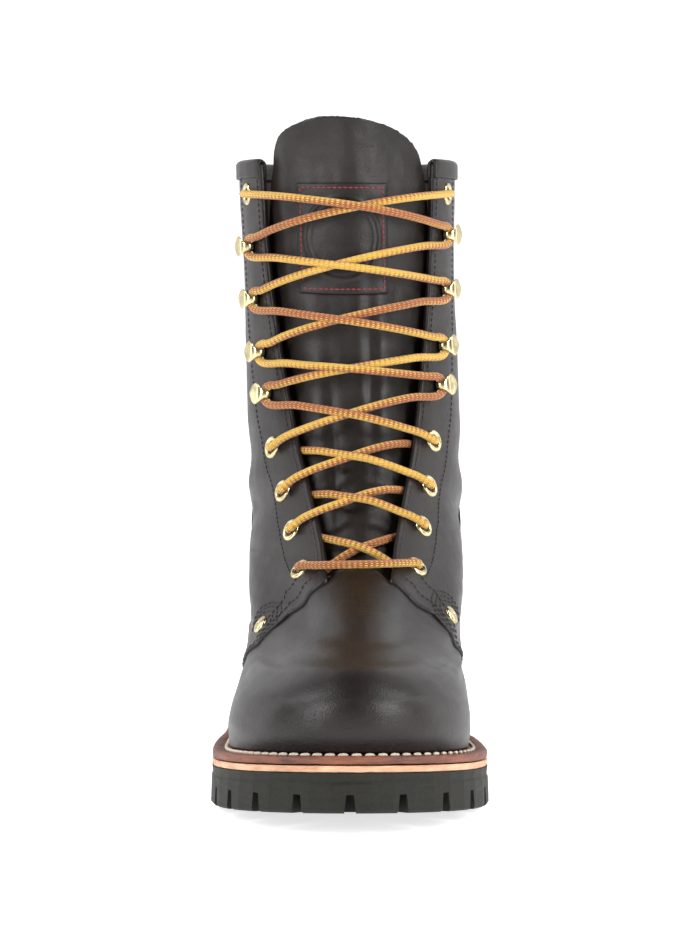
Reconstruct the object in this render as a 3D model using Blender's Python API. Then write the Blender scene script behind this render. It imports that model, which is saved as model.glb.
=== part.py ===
"""Logger boot for the right foot, laced and empty, standing on its sole.

The frame: +X is the medial side, -Y is the toe, +Z is up, in metres. Y runs from minus half
the sole's length at the toe to plus half at the heel, and the ground is at Z = 0.

The upper, tongue, counter, binding, insole and hardware all come from one surface: rings that
go round the foot, one above the other, from the feather edge on the welt to the collar.
"""

import math
from functools import lru_cache

import bmesh
import bpy
from mathutils import Matrix, Vector

# Clearances
GAP = 0.0003
STAND_GAP = 0.0008

# Sole sizes
SOLE_LENGTH = 0.306
SOLE_WIDTH = 0.114
OUTSOLE_THICKNESS = 0.0158
WAIST_THICKNESS = 0.006
MIDSOLE_THICKNESS = 0.0025
WELT_THICKNESS = 0.0033
WELT_WIDTH = 0.0135
EDGE_INSET = 0.0008
TOE_SPRING = 0.010
HEEL_RISE = 0.036
TOE_ROLL = 0.327
TOE_CURVE = 1.25
ARCH_START = 0.43
THIN_START = 0.43
THIN_END = 0.62

# Tread sizes
LUG_DEPTH = 0.007
SLOT_HEIGHT = 0.008
SLOT_WIDTH = 0.0030
SLOT_SPREAD = 0.0016
SLOT_LENGTH = 0.015
SLOT_PITCH = 0.0215
SLOTS_PER_SIDE = 6
TREAD_RIM = 0.0165
TREAD_START = 0.075
TREAD_END = 0.44
LUG_SIZE = 0.0150
LUG_ARM = 0.0066
LUG_PITCH = 0.0215
CENTRE_LUGS = 5
SIDE_LIP = 0.0010
SIDE_LIP_HEIGHT = 0.0035

# Heel sizes
HEEL_BREAST = 0.735
HEEL_BREAST_RAKE = 0.008
HEEL_BACK_RAKE = 0.014
HEEL_SIDE_RAKE = 0.0035
HEEL_LIFT = 0.011
HEEL_LIFT_LIP = 0.0012
HEEL_SLOT_DEPTH = 0.006
HEEL_SLOT_WIDTH = 0.0035
HEEL_SLOT_LENGTH = 0.015
HEEL_SLOT_FLARE = 1.4
HEEL_SLOTS = 3

# Upper sizes
UPPER_LENGTH = 0.2965
TOE_MARGIN = 0.0065
BALL_WIDTH = 0.101
SHAFT_WIDTH = 0.0942
INSTEP_HEIGHT = 0.093
COLLAR_HEIGHT = 0.262
WALL = 0.0020
QUARTER_STEP = 0.0010
STEP_RISE = 60.0
BALL_SLANT = 0.030
WAIST_CURVE = 0.0025

# Inside and overlays
INSOLE_THICKNESS = 0.0040
TONGUE_THICKNESS = 0.0028
TONGUE_OVERLAP = 0.013
TONGUE_TOP_RISE = 0.97
TONGUE_SHOULDER = 0.45
TONGUE_SHIFT = 0.0030
COUNTER_THICKNESS = 0.0014
COUNTER_CLEAR = 0.0005
COUNTER_HEIGHT = 0.062
COUNTER_SHOULDER = 0.84
COUNTER_FRONT = 0.735
COUNTER_LEAN = 0.020
COUNTER_FOOT = 0.12
BINDING_THICKNESS = 0.0012
BINDING_DROP = 0.0058

# Hardware and lace sizes
EYELET_SET_BACK_LATERAL = 0.0168
EYELET_SET_BACK_MEDIAL = 0.0150
TOP_SET_BACK = 0.0142
HOOK_SET_BACK = 0.0124
EYELET_DIAMETER = 0.0100
EYELET_HOLE = 0.0052
EYELET_HEIGHT = 0.0011
BARREL_WALL = 0.0005
HOOK_WIDTH = 0.0092
HOOK_LENGTH = 0.0098
HOOK_HEIGHT = 0.0066
HOOK_METAL = 0.0010
RIVET_DIAMETER = 0.0080
RIVET_HEIGHT = 0.0016
SEAT_DEPTH = 0.0005
SEAT_CLEAR = 0.0060
LACE_DIAMETER = 0.0038
LACE_BOW = 1.8
INNER_START = 0.30
INNER_END = 0.88
DIVE = 1.02
HOOK_CLEAR = 0.62
HOOK_LOOP = 0.022

# Points along the half outline at which widths are stated, as shares of its length.
STATIONS = (0.04, 0.14, 0.33, 0.62, 0.88)

# Half widths of the sole at the stations, as shares of SOLE_WIDTH.
SOLE_HALVES = {
    "lateral": (0.270, 0.440, 0.500, 0.405, 0.345),
    "medial": (0.280, 0.448, 0.490, 0.345, 0.335),
}

# Rings of the upper, from the feather edge to above the collar. Columns: name, front and back
# (shares of UPPER_LENGTH), heights of front and back (0 on the welt, 1 at INSTEP_HEIGHT, 2 at
# COLLAR_HEIGHT), lean of front and back (shares of BALL_WIDTH, + is medial), the size that the
# widths follow, half widths at the stations, and half of the throat gap (shares of that size).
RINGS = (
    ("feather", 0.0084, 0.9866, 0.00, 0.000, 0.010, 0.018, BALL_WIDTH,
     (0.262, 0.436, 0.475, 0.345, 0.322), 0.150),
    ("bulge", 0.0000, 0.9916, 0.165, 0.114, 0.012, 0.018, BALL_WIDTH,
     (0.270, 0.441, 0.484, 0.368, 0.346), 0.150),
    ("toe side", 0.0075, 0.9950, 0.350, 0.229, 0.018, 0.018, BALL_WIDTH,
     (0.252, 0.412, 0.470, 0.398, 0.363), 0.150),
    ("toe cap", 0.0430, 0.9966, 0.490, 0.343, 0.022, 0.018, BALL_WIDTH,
     (0.190, 0.345, 0.443, 0.420, 0.370), 0.150),
    ("toe top", 0.1193, 0.9983, 0.575, 0.486, 0.026, 0.018, BALL_WIDTH,
     (0.150, 0.262, 0.400, 0.441, 0.375), 0.150),
    ("vamp", 0.2639, 1.0000, 0.755, 0.657, 0.032, 0.018, BALL_WIDTH,
     (0.117, 0.200, 0.405, 0.447, 0.360), 0.150),
    ("throat", 0.4185, 1.0000, 1.000, 0.886, 0.036, 0.018, SHAFT_WIDTH,
     (0.160, 0.309, 0.464, 0.464, 0.361), 0.151),
    ("instep", 0.5050, 0.9900, 1.148, 1.112, 0.030, 0.018, SHAFT_WIDTH,
     (0.177, 0.322, 0.450, 0.480, 0.348), 0.206),
    ("ankle", 0.5800, 0.9630, 1.337, 1.337, 0.018, 0.014, SHAFT_WIDTH,
     (0.186, 0.336, 0.461, 0.480, 0.329), 0.284),
    ("shaft", 0.6130, 0.9765, 1.663, 1.692, -0.003, -0.003, SHAFT_WIDTH,
     (0.192, 0.339, 0.460, 0.474, 0.318), 0.364),
    ("collar", 0.6200, 1.0000, 2.000, 1.976, -0.014, -0.014, SHAFT_WIDTH,
     (0.196, 0.347, 0.470, 0.486, 0.325), 0.397),
    ("above", 0.6100, 1.0100, 2.113, 2.090, -0.017, -0.017, SHAFT_WIDTH,
     (0.196, 0.347, 0.470, 0.486, 0.325), 0.400),
)
THROAT_RING = 6
COLLAR_RING = 10

# Lower edge of the quarters: angle round the ring in degrees, and ring number.
QUARTER_EDGE = (
    (0.0, 6.02),
    (12.0, 5.90),
    (21.7, 5.67),
    (40.0, 5.35),
    (56.0, 4.93),
    (65.0, 4.42),
    (70.0, 4.10),
    (76.0, 3.50),
    (84.0, 2.40),
    (95.0, 1.30),
    (115.0, 0.60),
    (140.0, 0.40),
    (180.0, 0.34),
)

# Lacing, from the bottom: name, kind, height on the lateral and medial side as a share from
# instep to collar, and distance from the facing's edge on the lateral and medial side.
LACING = (
    ("eyelet_4", "eyelet", -0.018, -0.012, EYELET_SET_BACK_LATERAL, EYELET_SET_BACK_MEDIAL),
    ("eyelet_3", "eyelet", 0.070, 0.080, EYELET_SET_BACK_LATERAL, EYELET_SET_BACK_MEDIAL),
    ("eyelet_2", "eyelet", 0.162, 0.174, EYELET_SET_BACK_LATERAL, EYELET_SET_BACK_MEDIAL),
    ("eyelet_1", "eyelet", 0.267, 0.284, EYELET_SET_BACK_LATERAL, HOOK_SET_BACK),
    ("hook_4", "hook", 0.402, 0.423, HOOK_SET_BACK, HOOK_SET_BACK),
    ("hook_3", "hook", 0.509, 0.524, HOOK_SET_BACK, HOOK_SET_BACK),
    ("hook_2", "hook", 0.645, 0.669, HOOK_SET_BACK, HOOK_SET_BACK),
    ("hook_1", "hook", 0.781, 0.811, HOOK_SET_BACK, HOOK_SET_BACK),
    ("eyelet_top", "eyelet", 0.917, 0.917, TOP_SET_BACK, TOP_SET_BACK),
)

LACING_ROWS = {row[0]: row for row in LACING}

# Rivets at the quarters' front corners: side, angle round the ring in degrees, and ring number.
RIVETS = (
    ("lateral", -71.0, 4.45),
    ("medial", 66.5, 4.75),
)

# Depth of the tongue's face under the outside of the vamp: ring number, depth.
TONGUE_DEPTH = (
    (5.2, WALL + GAP),
    (5.9, WALL + LACE_DIAMETER + 2 * GAP),
    (8.0, WALL + LACE_DIAMETER + 2 * GAP),
    (9.2, WALL + BINDING_THICKNESS + 5 * GAP),
    (11.2, WALL + BINDING_THICKNESS + 5 * GAP),
)

# How finely the surfaces are divided.
FRONT_COLUMNS = 4
SIDE_COLUMNS = 17
VAMP_ROWS = 7
QUARTER_ROWS = 11
SOLE_POINTS = 60
LACE_STEPS = 8
LACE_SIDES = 6

COLOURS = {
    "leather": (0.016, 0.012, 0.012, 0.42, 0.0),
    "leather_edge": (0.010, 0.008, 0.008, 0.60, 0.0),
    "tongue_leather": (0.014, 0.011, 0.010, 0.50, 0.0),
    "insole_leather": (0.045, 0.030, 0.022, 0.75, 0.0),
    "welt_leather": (0.210, 0.075, 0.040, 0.62, 0.0),
    "midsole_leather": (0.520, 0.310, 0.190, 0.70, 0.0),
    "rubber": (0.013, 0.015, 0.012, 0.80, 0.0),
    "brass": (0.720, 0.640, 0.380, 0.28, 1.0),
    "lace_cord": (0.560, 0.260, 0.030, 0.60, 0.0),
}


def clear_scene():
    """Removes every object that the scene starts with."""
    for thing in list(bpy.data.objects):
        bpy.data.objects.remove(thing, do_unlink=True)


@lru_cache(maxsize=None)
def material(name):
    """A Principled material in one of the named colours."""
    made = bpy.data.materials.new(name)
    made.use_nodes = True
    red, green, blue, rough, metal = COLOURS[name]
    shader = made.node_tree.nodes["Principled BSDF"]
    shader.inputs["Base Color"].default_value = (red, green, blue, 1.0)
    shader.inputs["Roughness"].default_value = rough
    shader.inputs["Metallic"].default_value = metal
    made.diffuse_color = (red, green, blue, 1.0)
    return made


def smooth(keys, values, at):
    """The value at a place on a smooth curve through the keys and values, straight past its ends."""
    last = len(keys) - 1
    low = 0
    while low < last - 1 and at > keys[low + 1]:
        low += 1

    def slope(i):
        before = max(i - 1, 0)
        after = min(i + 1, last)
        return (values[after] - values[before]) / (keys[after] - keys[before])

    span = keys[low + 1] - keys[low]
    share = (at - keys[low]) / span
    if share < 0:
        return values[low] + slope(low) * (at - keys[low])
    if share > 1:
        return values[low + 1] + slope(low + 1) * (at - keys[low + 1])
    square = share * share
    cube = square * share
    return (
        values[low] * (2 * cube - 3 * square + 1)
        + slope(low) * span * (cube - 2 * square + share)
        + values[low + 1] * (3 * square - 2 * cube)
        + slope(low + 1) * span * (cube - square)
    )


def straight(pairs, at):
    """The value at a place on straight lines through the pairs, level past their ends."""
    if at <= pairs[0][0]:
        return pairs[0][1]
    for (low, first), (high, second) in zip(pairs, pairs[1:]):
        if at <= high:
            return first + (second - first) * (at - low) / (high - low)
    return pairs[-1][1]


def ease(low, high, at):
    """Rises smoothly from 0 to 1 between two places."""
    share = min(max((at - low) / (high - low), 0.0), 1.0)
    return share * share * (3 - 2 * share)


def blend(first, second, share):
    """The value a share of the way from the first to the second."""
    return first + (second - first) * share


# The sole's levels

def sole_lift(along):
    """How far the sole's top at a share of its length stands above the ball's."""
    toe = max(0.0, 1 - along / TOE_ROLL)
    return TOE_SPRING * toe**TOE_CURVE + HEEL_RISE * ease(ARCH_START, HEEL_BREAST, along)


def outsole_top(along):
    """Height of the outsole's top."""
    return OUTSOLE_THICKNESS + sole_lift(along)


def outsole_bottom(along):
    """Height of the outsole's bottom, which is level under the ball and thin under the arch."""
    thin = (OUTSOLE_THICKNESS - WAIST_THICKNESS) * ease(THIN_START, THIN_END, along)
    return sole_lift(along) + thin


def midsole_bottom(along):
    """Height of the midsole's bottom."""
    return outsole_top(along) + GAP


def welt_bottom(along):
    """Height of the welt's bottom."""
    return midsole_bottom(along) + MIDSOLE_THICKNESS + 2 * GAP


def welt_top(along):
    """Height of the welt's top."""
    return welt_bottom(along) + WELT_THICKNESS


def along_of(y):
    """Share of the sole's length at a Y."""
    return y / SOLE_LENGTH + 0.5


def sole_half(side, along):
    """Half width of the sole's outline on one side, before its ends round off."""
    ratios = []
    for station, half in zip(STATIONS, SOLE_HALVES[side]):
        ratios.append(half * SOLE_WIDTH / (2 * math.sqrt(station * (1 - station))))
    return smooth(STATIONS, ratios, min(max(along, STATIONS[0]), STATIONS[-1]))


def sole_point(angle, inset, height):
    """A point of the sole's outline, drawn in by an inset, at the height that a function gives."""
    share = (1 - math.cos(angle)) / 2
    side = "medial" if math.sin(angle) >= 0 else "lateral"
    along = blend(inset / SOLE_LENGTH, 1 - inset / SOLE_LENGTH, share)
    half = sole_half(side, share) - inset
    return Vector((half * math.sin(angle), (along - 0.5) * SOLE_LENGTH, height(along)))


@lru_cache(maxsize=None)
def sole_angles():
    """Angles of the outline's points: even steps, and one on each side at the heel's breast."""
    steps = SOLE_POINTS // 2
    half = [math.pi * i / steps for i in range(1, steps)]
    half.append(math.acos(1 - 2 * HEEL_BREAST))
    half.sort()
    return [0.0] + half + [math.pi] + [2 * math.pi - angle for angle in reversed(half)]


def sole_ring(inset, height):
    """The closed outline at one inset and level."""
    return [sole_point(angle, inset, height) for angle in sole_angles()]


# The upper's surface

def ring_table():
    """The rings in metres: one list for each column."""
    table = {"front": [], "back": [], "front_rise": [], "back_rise": [], "throat": []}
    table.update({"front_lean": [], "back_lean": [], "halves": []})
    toe = TOE_MARGIN - SOLE_LENGTH / 2
    for _, front, back, front_rise, back_rise, front_lean, back_lean, size, halves, throat in RINGS:
        table["front"].append(toe + front * UPPER_LENGTH)
        table["back"].append(toe + back * UPPER_LENGTH)
        table["front_rise"].append(front_rise)
        table["back_rise"].append(back_rise)
        table["front_lean"].append(front_lean * BALL_WIDTH)
        table["back_lean"].append(back_lean * BALL_WIDTH)
        table["throat"].append(throat * size)
        ratios = []
        for station, half in zip(STATIONS, halves):
            ratios.append(half * size / (2 * math.sqrt(station * (1 - station))))
        table["halves"].append(ratios)
    return table


RING_TABLE = ring_table()
RING_KEYS = list(range(len(RINGS)))


@lru_cache(maxsize=None)
def ring_at(row):
    """The sizes of the ring at a row, which may lie between two rings of the table."""
    sizes = {}
    for column in ("front", "back", "front_rise", "back_rise", "front_lean", "back_lean", "throat"):
        sizes[column] = smooth(RING_KEYS, RING_TABLE[column], row)
    sizes["halves"] = []
    for station in range(len(STATIONS)):
        widths = [ring[station] for ring in RING_TABLE["halves"]]
        sizes["halves"].append(smooth(RING_KEYS, widths, row))
    return sizes


def rise_height(rise, y):
    """Height of a rise: 0 is on the welt, 1 is at the instep and 2 is at the collar."""
    floor = welt_top(along_of(y)) + STAND_GAP
    if rise <= 1:
        return blend(floor, INSTEP_HEIGHT, rise)
    return blend(INSTEP_HEIGHT, COLLAR_HEIGHT, rise - 1)


def ring_point(angle, row):
    """The point of the vamp's outside at an angle round the ring; 0 is the front."""
    sizes = ring_at(round(row, 5))
    share = (1 - math.cos(angle)) / 2
    turn = math.sin(angle)
    y = blend(sizes["front"], sizes["back"], share)
    slanted = share + BALL_SLANT * turn
    half = smooth(STATIONS, sizes["halves"], min(max(slanted, STATIONS[0]), STATIONS[-1]))
    lean = blend(sizes["front_lean"], sizes["back_lean"], share)
    waist = math.exp(-(((share - 0.6) / 0.18) ** 2)) * max(0.0, 1 - row / 3)
    x = lean - WAIST_CURVE * waist + half * turn
    rise = blend(sizes["front_rise"], sizes["back_rise"], share)
    return Vector((x, y, rise_height(rise, y)))


@lru_cache(maxsize=None)
def surface(angle, row):
    """A point of the vamp's outside and the directions round, up and out of the surface there."""
    step = 0.02
    low = max(row - step, 0.0)
    around = ring_point(angle + step, row) - ring_point(angle - step, row)
    upward = ring_point(angle, row + step) - ring_point(angle, low)
    outward = around.cross(upward).normalized()
    return ring_point(angle, row), around.normalized(), upward.normalized(), outward


def shell_point(angle, row, out):
    """A point at a distance outside the vamp's surface."""
    point, _, _, outward = surface(round(angle, 6), round(row, 5))
    return point + outward * out


@lru_cache(maxsize=None)
def throat_angle(row):
    """Angle from the front to the facing's edge."""
    sizes = ring_at(round(max(row, THROAT_RING), 5))
    angle = 0.4
    for _ in range(12):
        share = (1 - math.cos(angle)) / 2
        half = smooth(STATIONS, sizes["halves"], min(max(share, STATIONS[0]), STATIONS[-1]))
        angle = math.asin(min(sizes["throat"] / half, 0.98))
    return angle


def angle_from_edge(row, distance):
    """Angle of a place that lies a distance round from the facing's edge."""
    angle = throat_angle(row)
    step = 0.01
    passed = 0.0
    before = ring_point(angle, row)
    while passed < distance:
        angle += step
        after = ring_point(angle, row)
        passed += (after - before).length
        before = after
    return angle


def row_at_height(angle, height, low=THROAT_RING - 1.0, high=COLLAR_RING + 1.0):
    """The row at which the surface at an angle reaches a height."""
    for _ in range(30):
        middle = (low + high) / 2
        if ring_point(angle, middle).z < height:
            low = middle
        else:
            high = middle
    return (low + high) / 2


# Mesh helpers

def build(name, vertices, faces, look, smooth_angle=40.0):
    """An object from vertices and faces, with faces turned outward."""
    form = bmesh.new()
    made = [form.verts.new(vertex) for vertex in vertices]
    for face in faces:
        form.faces.new([made[i] for i in face])
    bmesh.ops.recalc_face_normals(form, faces=form.faces)
    if form.calc_volume(signed=True) < 0:
        bmesh.ops.reverse_faces(form, faces=form.faces)
    mesh = bpy.data.meshes.new(name)
    form.to_mesh(mesh)
    form.free()
    mesh.shade_smooth()
    mesh.set_sharp_from_angle(angle=math.radians(smooth_angle))
    mesh.materials.append(material(look))
    return place(name, mesh)


def place(name, mesh, matrix=None):
    """Puts a mesh in the scene as an object."""
    made = bpy.data.objects.new(name, mesh)
    bpy.context.scene.collection.objects.link(made)
    if matrix is not None:
        made.matrix_world = matrix
    return made


def pair_caps(first, count, closed):
    """Faces that span a ring from side to side, pairing points that lie at one length."""
    faces = []
    if closed:
        faces.append((first, first + 1, first + count - 1))
        for i in range(1, count // 2 - 1):
            faces.append((first + i, first + i + 1, first + count - i - 1, first + count - i))
        middle = count // 2
        faces.append((first + middle - 1, first + middle, first + middle + 1))
        return faces
    for i in range((count - 1) // 2):
        far = count - 1 - i
        if i + 1 == far - 1:
            faces.append((first + i, first + i + 1, first + far))
        else:
            faces.append((first + i, first + i + 1, first + far - 1, first + far))
    return faces


def stack(name, rings, look, closed=True):
    """A solid from rings of points, bottom to top, capped from side to side."""
    count = len(rings[0])
    vertices = [point for ring in rings for point in ring]
    faces = []
    for level in range(len(rings) - 1):
        low = level * count
        high = low + count
        for i in range(count):
            after = (i + 1) % count
            faces.append((low + i, low + after, high + after, high + i))
    faces += pair_caps(0, count, closed)
    faces += pair_caps(len(vertices) - count, count, closed)
    return build(name, vertices, faces, look)


def band(name, outer, inner, look):
    """A flat ring: outer and inner are each a pair of closed outlines, bottom and top."""
    count = len(outer[0])
    vertices = outer[0] + outer[1] + inner[1] + inner[0]
    faces = []
    for loop in range(4):
        low = loop * count
        high = (loop + 1) % 4 * count
        for i in range(count):
            after = (i + 1) % count
            faces.append((low + i, low + after, high + after, high + i))
    return build(name, vertices, faces, look)


def shell(name, outside, inside, cells, look):
    """A walled solid: two grids of points with the same cells, joined along every open edge."""
    places = {}
    vertices = []

    def index(grid, key):
        if (grid, key) not in places:
            places[(grid, key)] = len(vertices)
            vertices.append((outside, inside)[grid](*key))
        return places[(grid, key)]

    faces = []
    edges = {}
    for cell in cells:
        corners = [cell[i] for i in range(len(cell))]
        faces.append([index(0, corner) for corner in corners])
        faces.append([index(1, corner) for corner in reversed(corners)])
        for start, end in zip(corners, corners[1:] + corners[:1]):
            edges.setdefault(frozenset((start, end)), []).append((start, end))
    for sides in edges.values():
        if len(sides) == 1:
            start, end = sides[0]
            faces.append([index(0, end), index(0, start), index(1, start), index(1, end)])
    return build(name, vertices, faces, look)


def tube(name, points, radius, look, sides=8):
    """A round bar along a line of points, with flat ends."""
    rings = []
    across = None
    for i, point in enumerate(points):
        ahead = points[min(i + 1, len(points) - 1)] - points[max(i - 1, 0)]
        ahead.normalize()
        if across is None:
            across = ahead.cross(Vector((0, 0, 1))).normalized()
        across = (across - ahead * across.dot(ahead)).normalized()
        over = ahead.cross(across)
        ring = []
        for j in range(sides):
            turn = 2 * math.pi * j / sides
            ring.append(point + (across * math.cos(turn) + over * math.sin(turn)) * radius)
        rings.append(ring)
    vertices = [vertex for ring in rings for vertex in ring]
    faces = []
    for level in range(len(rings) - 1):
        for i in range(sides):
            after = (i + 1) % sides
            low = level * sides
            faces.append((low + i, low + after, low + sides + after, low + sides + i))
    faces.append(range(sides))
    faces.append(range(len(vertices) - sides, len(vertices)))
    return build(name, vertices, faces, look)


def boolean(target, tool, operation):
    """Cuts or joins a hidden tool into a target."""
    tool.hide_render = True
    tool.display_type = "WIRE"
    cut = target.modifiers.new(tool.name, "BOOLEAN")
    cut.operation = operation
    cut.solver = "EXACT"
    cut.object = tool


def boxes(name, parts):
    """One hidden mesh of separate tapered boxes: centre, direction, lengths and heights."""
    vertices = []
    faces = []
    for centre, ahead, length, low_width, high_width, low, high in parts:
        across = Vector((-ahead.y, ahead.x, 0))
        first = len(vertices)
        for height, width in ((low, low_width), (high, high_width)):
            for along, side in ((-1, -1), (1, -1), (1, 1), (-1, 1)):
                flat = centre + ahead * (along * length / 2) + across * (side * width / 2)
                vertices.append(Vector((flat.x, flat.y, height)))
        for face in ((3, 2, 1, 0), (4, 5, 6, 7), (0, 1, 5, 4), (1, 2, 6, 5), (2, 3, 7, 6), (3, 0, 4, 7)):
            faces.append([first + i for i in face])
    return build(name, vertices, faces, "rubber")


# Sole pieces

def outline_walk(inset, distance, side):
    """The outline's point and outward direction at a distance round from the toe."""
    step = 0.005
    angle = 0.0
    passed = 0.0
    level = outsole_bottom
    before = sole_point(0.0, inset, level)
    while passed < distance:
        angle += step
        after = sole_point(side * angle, inset, level)
        passed += (after.xy - before.xy).length
        before = after
    ahead = sole_point(side * (angle + step), inset, level) - sole_point(side * (angle - step), inset, level)
    outward = Vector((ahead.y, -ahead.x, 0)).normalized() * side
    return before, outward


def side_slots():
    """The cutter for the slots that open through the outsole's side."""
    parts = []
    for number in range(SLOTS_PER_SIDE + 1):
        for side in (-1, 1) if number else (1,):
            point, outward = outline_walk(0.0, number * SLOT_PITCH, side)
            centre = point - outward * (SLOT_LENGTH / 2 - SIDE_LIP)
            along = along_of(centre.y)
            low = outsole_bottom(along) - LUG_DEPTH
            high = outsole_bottom(along) + SLOT_HEIGHT
            wide = SLOT_WIDTH + 2 * SLOT_SPREAD
            parts.append((centre, outward, SLOT_LENGTH, wide, SLOT_WIDTH, low, high))
    return boxes("slot_cutter", parts)


def tread_channel():
    """The cutter for the sunk middle of the forefoot's tread."""
    angles = []
    start = math.acos(1 - 2 * TREAD_START)
    end = math.acos(1 - 2 * TREAD_END)
    count = 12
    for i in range(count + 1):
        angles.append(blend(start, end, i / count))
    loop = angles + [-angle for angle in reversed(angles)]
    low = [sole_point(a, TREAD_RIM, lambda t: outsole_bottom(t) - LUG_DEPTH) for a in loop]
    high = [sole_point(a, TREAD_RIM, lambda t: outsole_bottom(t) + LUG_DEPTH) for a in loop]
    vertices = low + high
    size = len(loop)
    faces = []
    for i in range(size):
        after = (i + 1) % size
        faces.append((i, after, size + after, size + i))
    for first in (0, size):
        for i in range(count):
            faces.append((first + i, first + i + 1, first + size - i - 2, first + size - i - 1))
    return build("tread_cutter", vertices, faces, "rubber")


def centre_lugs():
    """Crosses that stand in the sunk middle of the tread."""
    vertices = []
    faces = []
    half = LUG_SIZE / 2
    arm = LUG_ARM / 2
    cross = (
        (half, arm), (arm, arm), (arm, half), (-arm, half), (-arm, arm), (-half, arm),
        (-half, -arm), (-arm, -arm), (-arm, -half), (arm, -half), (arm, -arm), (half, -arm),
    )
    start = (TREAD_START - 0.5) * SOLE_LENGTH + TREAD_RIM + LUG_SIZE * 0.6
    for number in range(CENTRE_LUGS):
        y = start + number * LUG_PITCH
        for x in (-LUG_PITCH / 2, LUG_PITCH / 2):
            low = outsole_bottom(along_of(y - half))
            high = low + LUG_DEPTH + SIDE_LIP
            first = len(vertices)
            for height in (low, high):
                for across, ahead in cross:
                    vertices.append(Vector((x + across, y + ahead, height)))
            size = len(cross)
            for i in range(size):
                after = (i + 1) % size
                faces.append((first + i, first + after, first + size + after, first + size + i))
            for level in (first, first + size):
                faces.append((level + 10, level + 11, level + 0, level + 1))
                faces.append((level + 1, level + 2, level + 3, level + 4))
                faces.append((level + 4, level + 5, level + 6, level + 7))
                faces.append((level + 7, level + 8, level + 9, level + 10))
                faces.append((level + 1, level + 4, level + 7, level + 10))
    return build("centre_lugs", vertices, faces, "rubber")


def make_outsole():
    """The rubber outsole: a lipped side, slots round its edge and crosses in its middle."""
    rings = [
        sole_ring(SIDE_LIP, outsole_bottom),
        sole_ring(0.0, lambda t: outsole_bottom(t) + SIDE_LIP),
        sole_ring(SIDE_LIP * 0.4, lambda t: outsole_top(t) - SIDE_LIP_HEIGHT - SIDE_LIP),
        sole_ring(SIDE_LIP, lambda t: outsole_top(t) - SIDE_LIP_HEIGHT),
        sole_ring(SIDE_LIP * 0.6, outsole_top),
    ]
    sole = stack("outsole", rings, "rubber")
    boolean(sole, tread_channel(), "DIFFERENCE")
    boolean(sole, centre_lugs(), "UNION")
    boolean(sole, side_slots(), "DIFFERENCE")
    return sole


def heel_ring(inset, low_share, height, points=15):
    """A level of the heel: the sole's outline behind the breast, drawn in toward the ground."""
    breast = HEEL_BREAST + HEEL_BREAST_RAKE / SOLE_LENGTH * low_share
    start = math.acos(1 - 2 * breast)
    ring = []
    for i in range(2 * points + 1):
        angle = blend(start, 2 * math.pi - start, i / (2 * points))
        point = sole_point(angle, inset, height)
        back = (point.y / SOLE_LENGTH + 0.5 - breast) / (1 - breast)
        point.y -= HEEL_BACK_RAKE * low_share * back
        point.x *= 1 - HEEL_SIDE_RAKE * low_share * 2 / SOLE_WIDTH
        ring.append(point)
    return ring


def make_heel():
    """The heel block, raked at its back and breast, on a lugged lift."""
    total = outsole_bottom(1.0)
    lift = HEEL_LIFT / total
    rings = [
        heel_ring(SIDE_LIP, 1.0, lambda t: 0.0),
        heel_ring(0.0, 1.0, lambda t: SIDE_LIP),
        heel_ring(0.0, 1 - lift, lambda t: HEEL_LIFT - SIDE_LIP),
        heel_ring(HEEL_LIFT_LIP, 1 - lift, lambda t: HEEL_LIFT),
        heel_ring(HEEL_LIFT_LIP, 0.35, lambda t: blend(HEEL_LIFT, total, 0.6)),
        heel_ring(SIDE_LIP, 0.0, lambda t: outsole_bottom(t) - GAP),
    ]
    heel = stack("heel", rings, "rubber", closed=False)
    parts = []
    breast = (HEEL_BREAST - 0.5) * SOLE_LENGTH + HEEL_BREAST_RAKE
    back = SOLE_LENGTH / 2 - HEEL_BACK_RAKE
    for number in range(HEEL_SLOTS):
        y = blend(breast, back, (number + 0.7) / (HEEL_SLOTS + 0.6))
        for side in (-1, 1):
            x = side * (sole_half("medial" if side > 0 else "lateral", along_of(y)) - SIDE_LIP)
            edge = x * 2 * math.sqrt(along_of(y) * (1 - along_of(y)))
            centre = Vector((edge - side * HEEL_SLOT_LENGTH * 0.35, y, 0))
            parts.append((centre, Vector((1, 0, 0)), HEEL_SLOT_LENGTH,
                          HEEL_SLOT_WIDTH * HEEL_SLOT_FLARE, HEEL_SLOT_WIDTH,
                          -HEEL_SLOT_DEPTH, HEEL_SLOT_DEPTH))
    middle = Vector((0, (breast + back) / 2, 0))
    parts.append((middle, Vector((0, 1, 0)), HEEL_SLOT_LENGTH, HEEL_SLOT_WIDTH * HEEL_SLOT_FLARE,
                  HEEL_SLOT_WIDTH, -HEEL_SLOT_DEPTH, HEEL_SLOT_DEPTH))
    boolean(heel, boxes("heel_slot_cutter", parts), "DIFFERENCE")
    return heel


def make_midsole():
    """The layer between outsole and welt."""
    bottom = sole_ring(EDGE_INSET, midsole_bottom)
    top = sole_ring(EDGE_INSET, lambda t: midsole_bottom(t) + MIDSOLE_THICKNESS)
    return stack("midsole", [bottom, top], "midsole_leather")


def make_welt():
    """The strip that the upper stands on, open in the middle."""
    outer = (sole_ring(EDGE_INSET, welt_bottom), sole_ring(EDGE_INSET, welt_top))
    inner = (sole_ring(WELT_WIDTH, welt_bottom), sole_ring(WELT_WIDTH, welt_top))
    return band("welt", outer, inner, "welt_leather")


def make_insole():
    """The footbed, which rests on the welt inside the upper."""
    clear = WALL + 2 * GAP
    bottom = []
    top = []
    for angle in sole_angles():
        point = shell_point(angle if angle <= math.pi else angle - 2 * math.pi, 0.0, -clear)
        floor = welt_top(along_of(point.y)) + STAND_GAP
        bottom.append(Vector((point.x, point.y, floor)))
        top.append(Vector((point.x, point.y, floor + INSOLE_THICKNESS)))
    return stack("insole", [bottom, top], "insole_leather")


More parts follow.
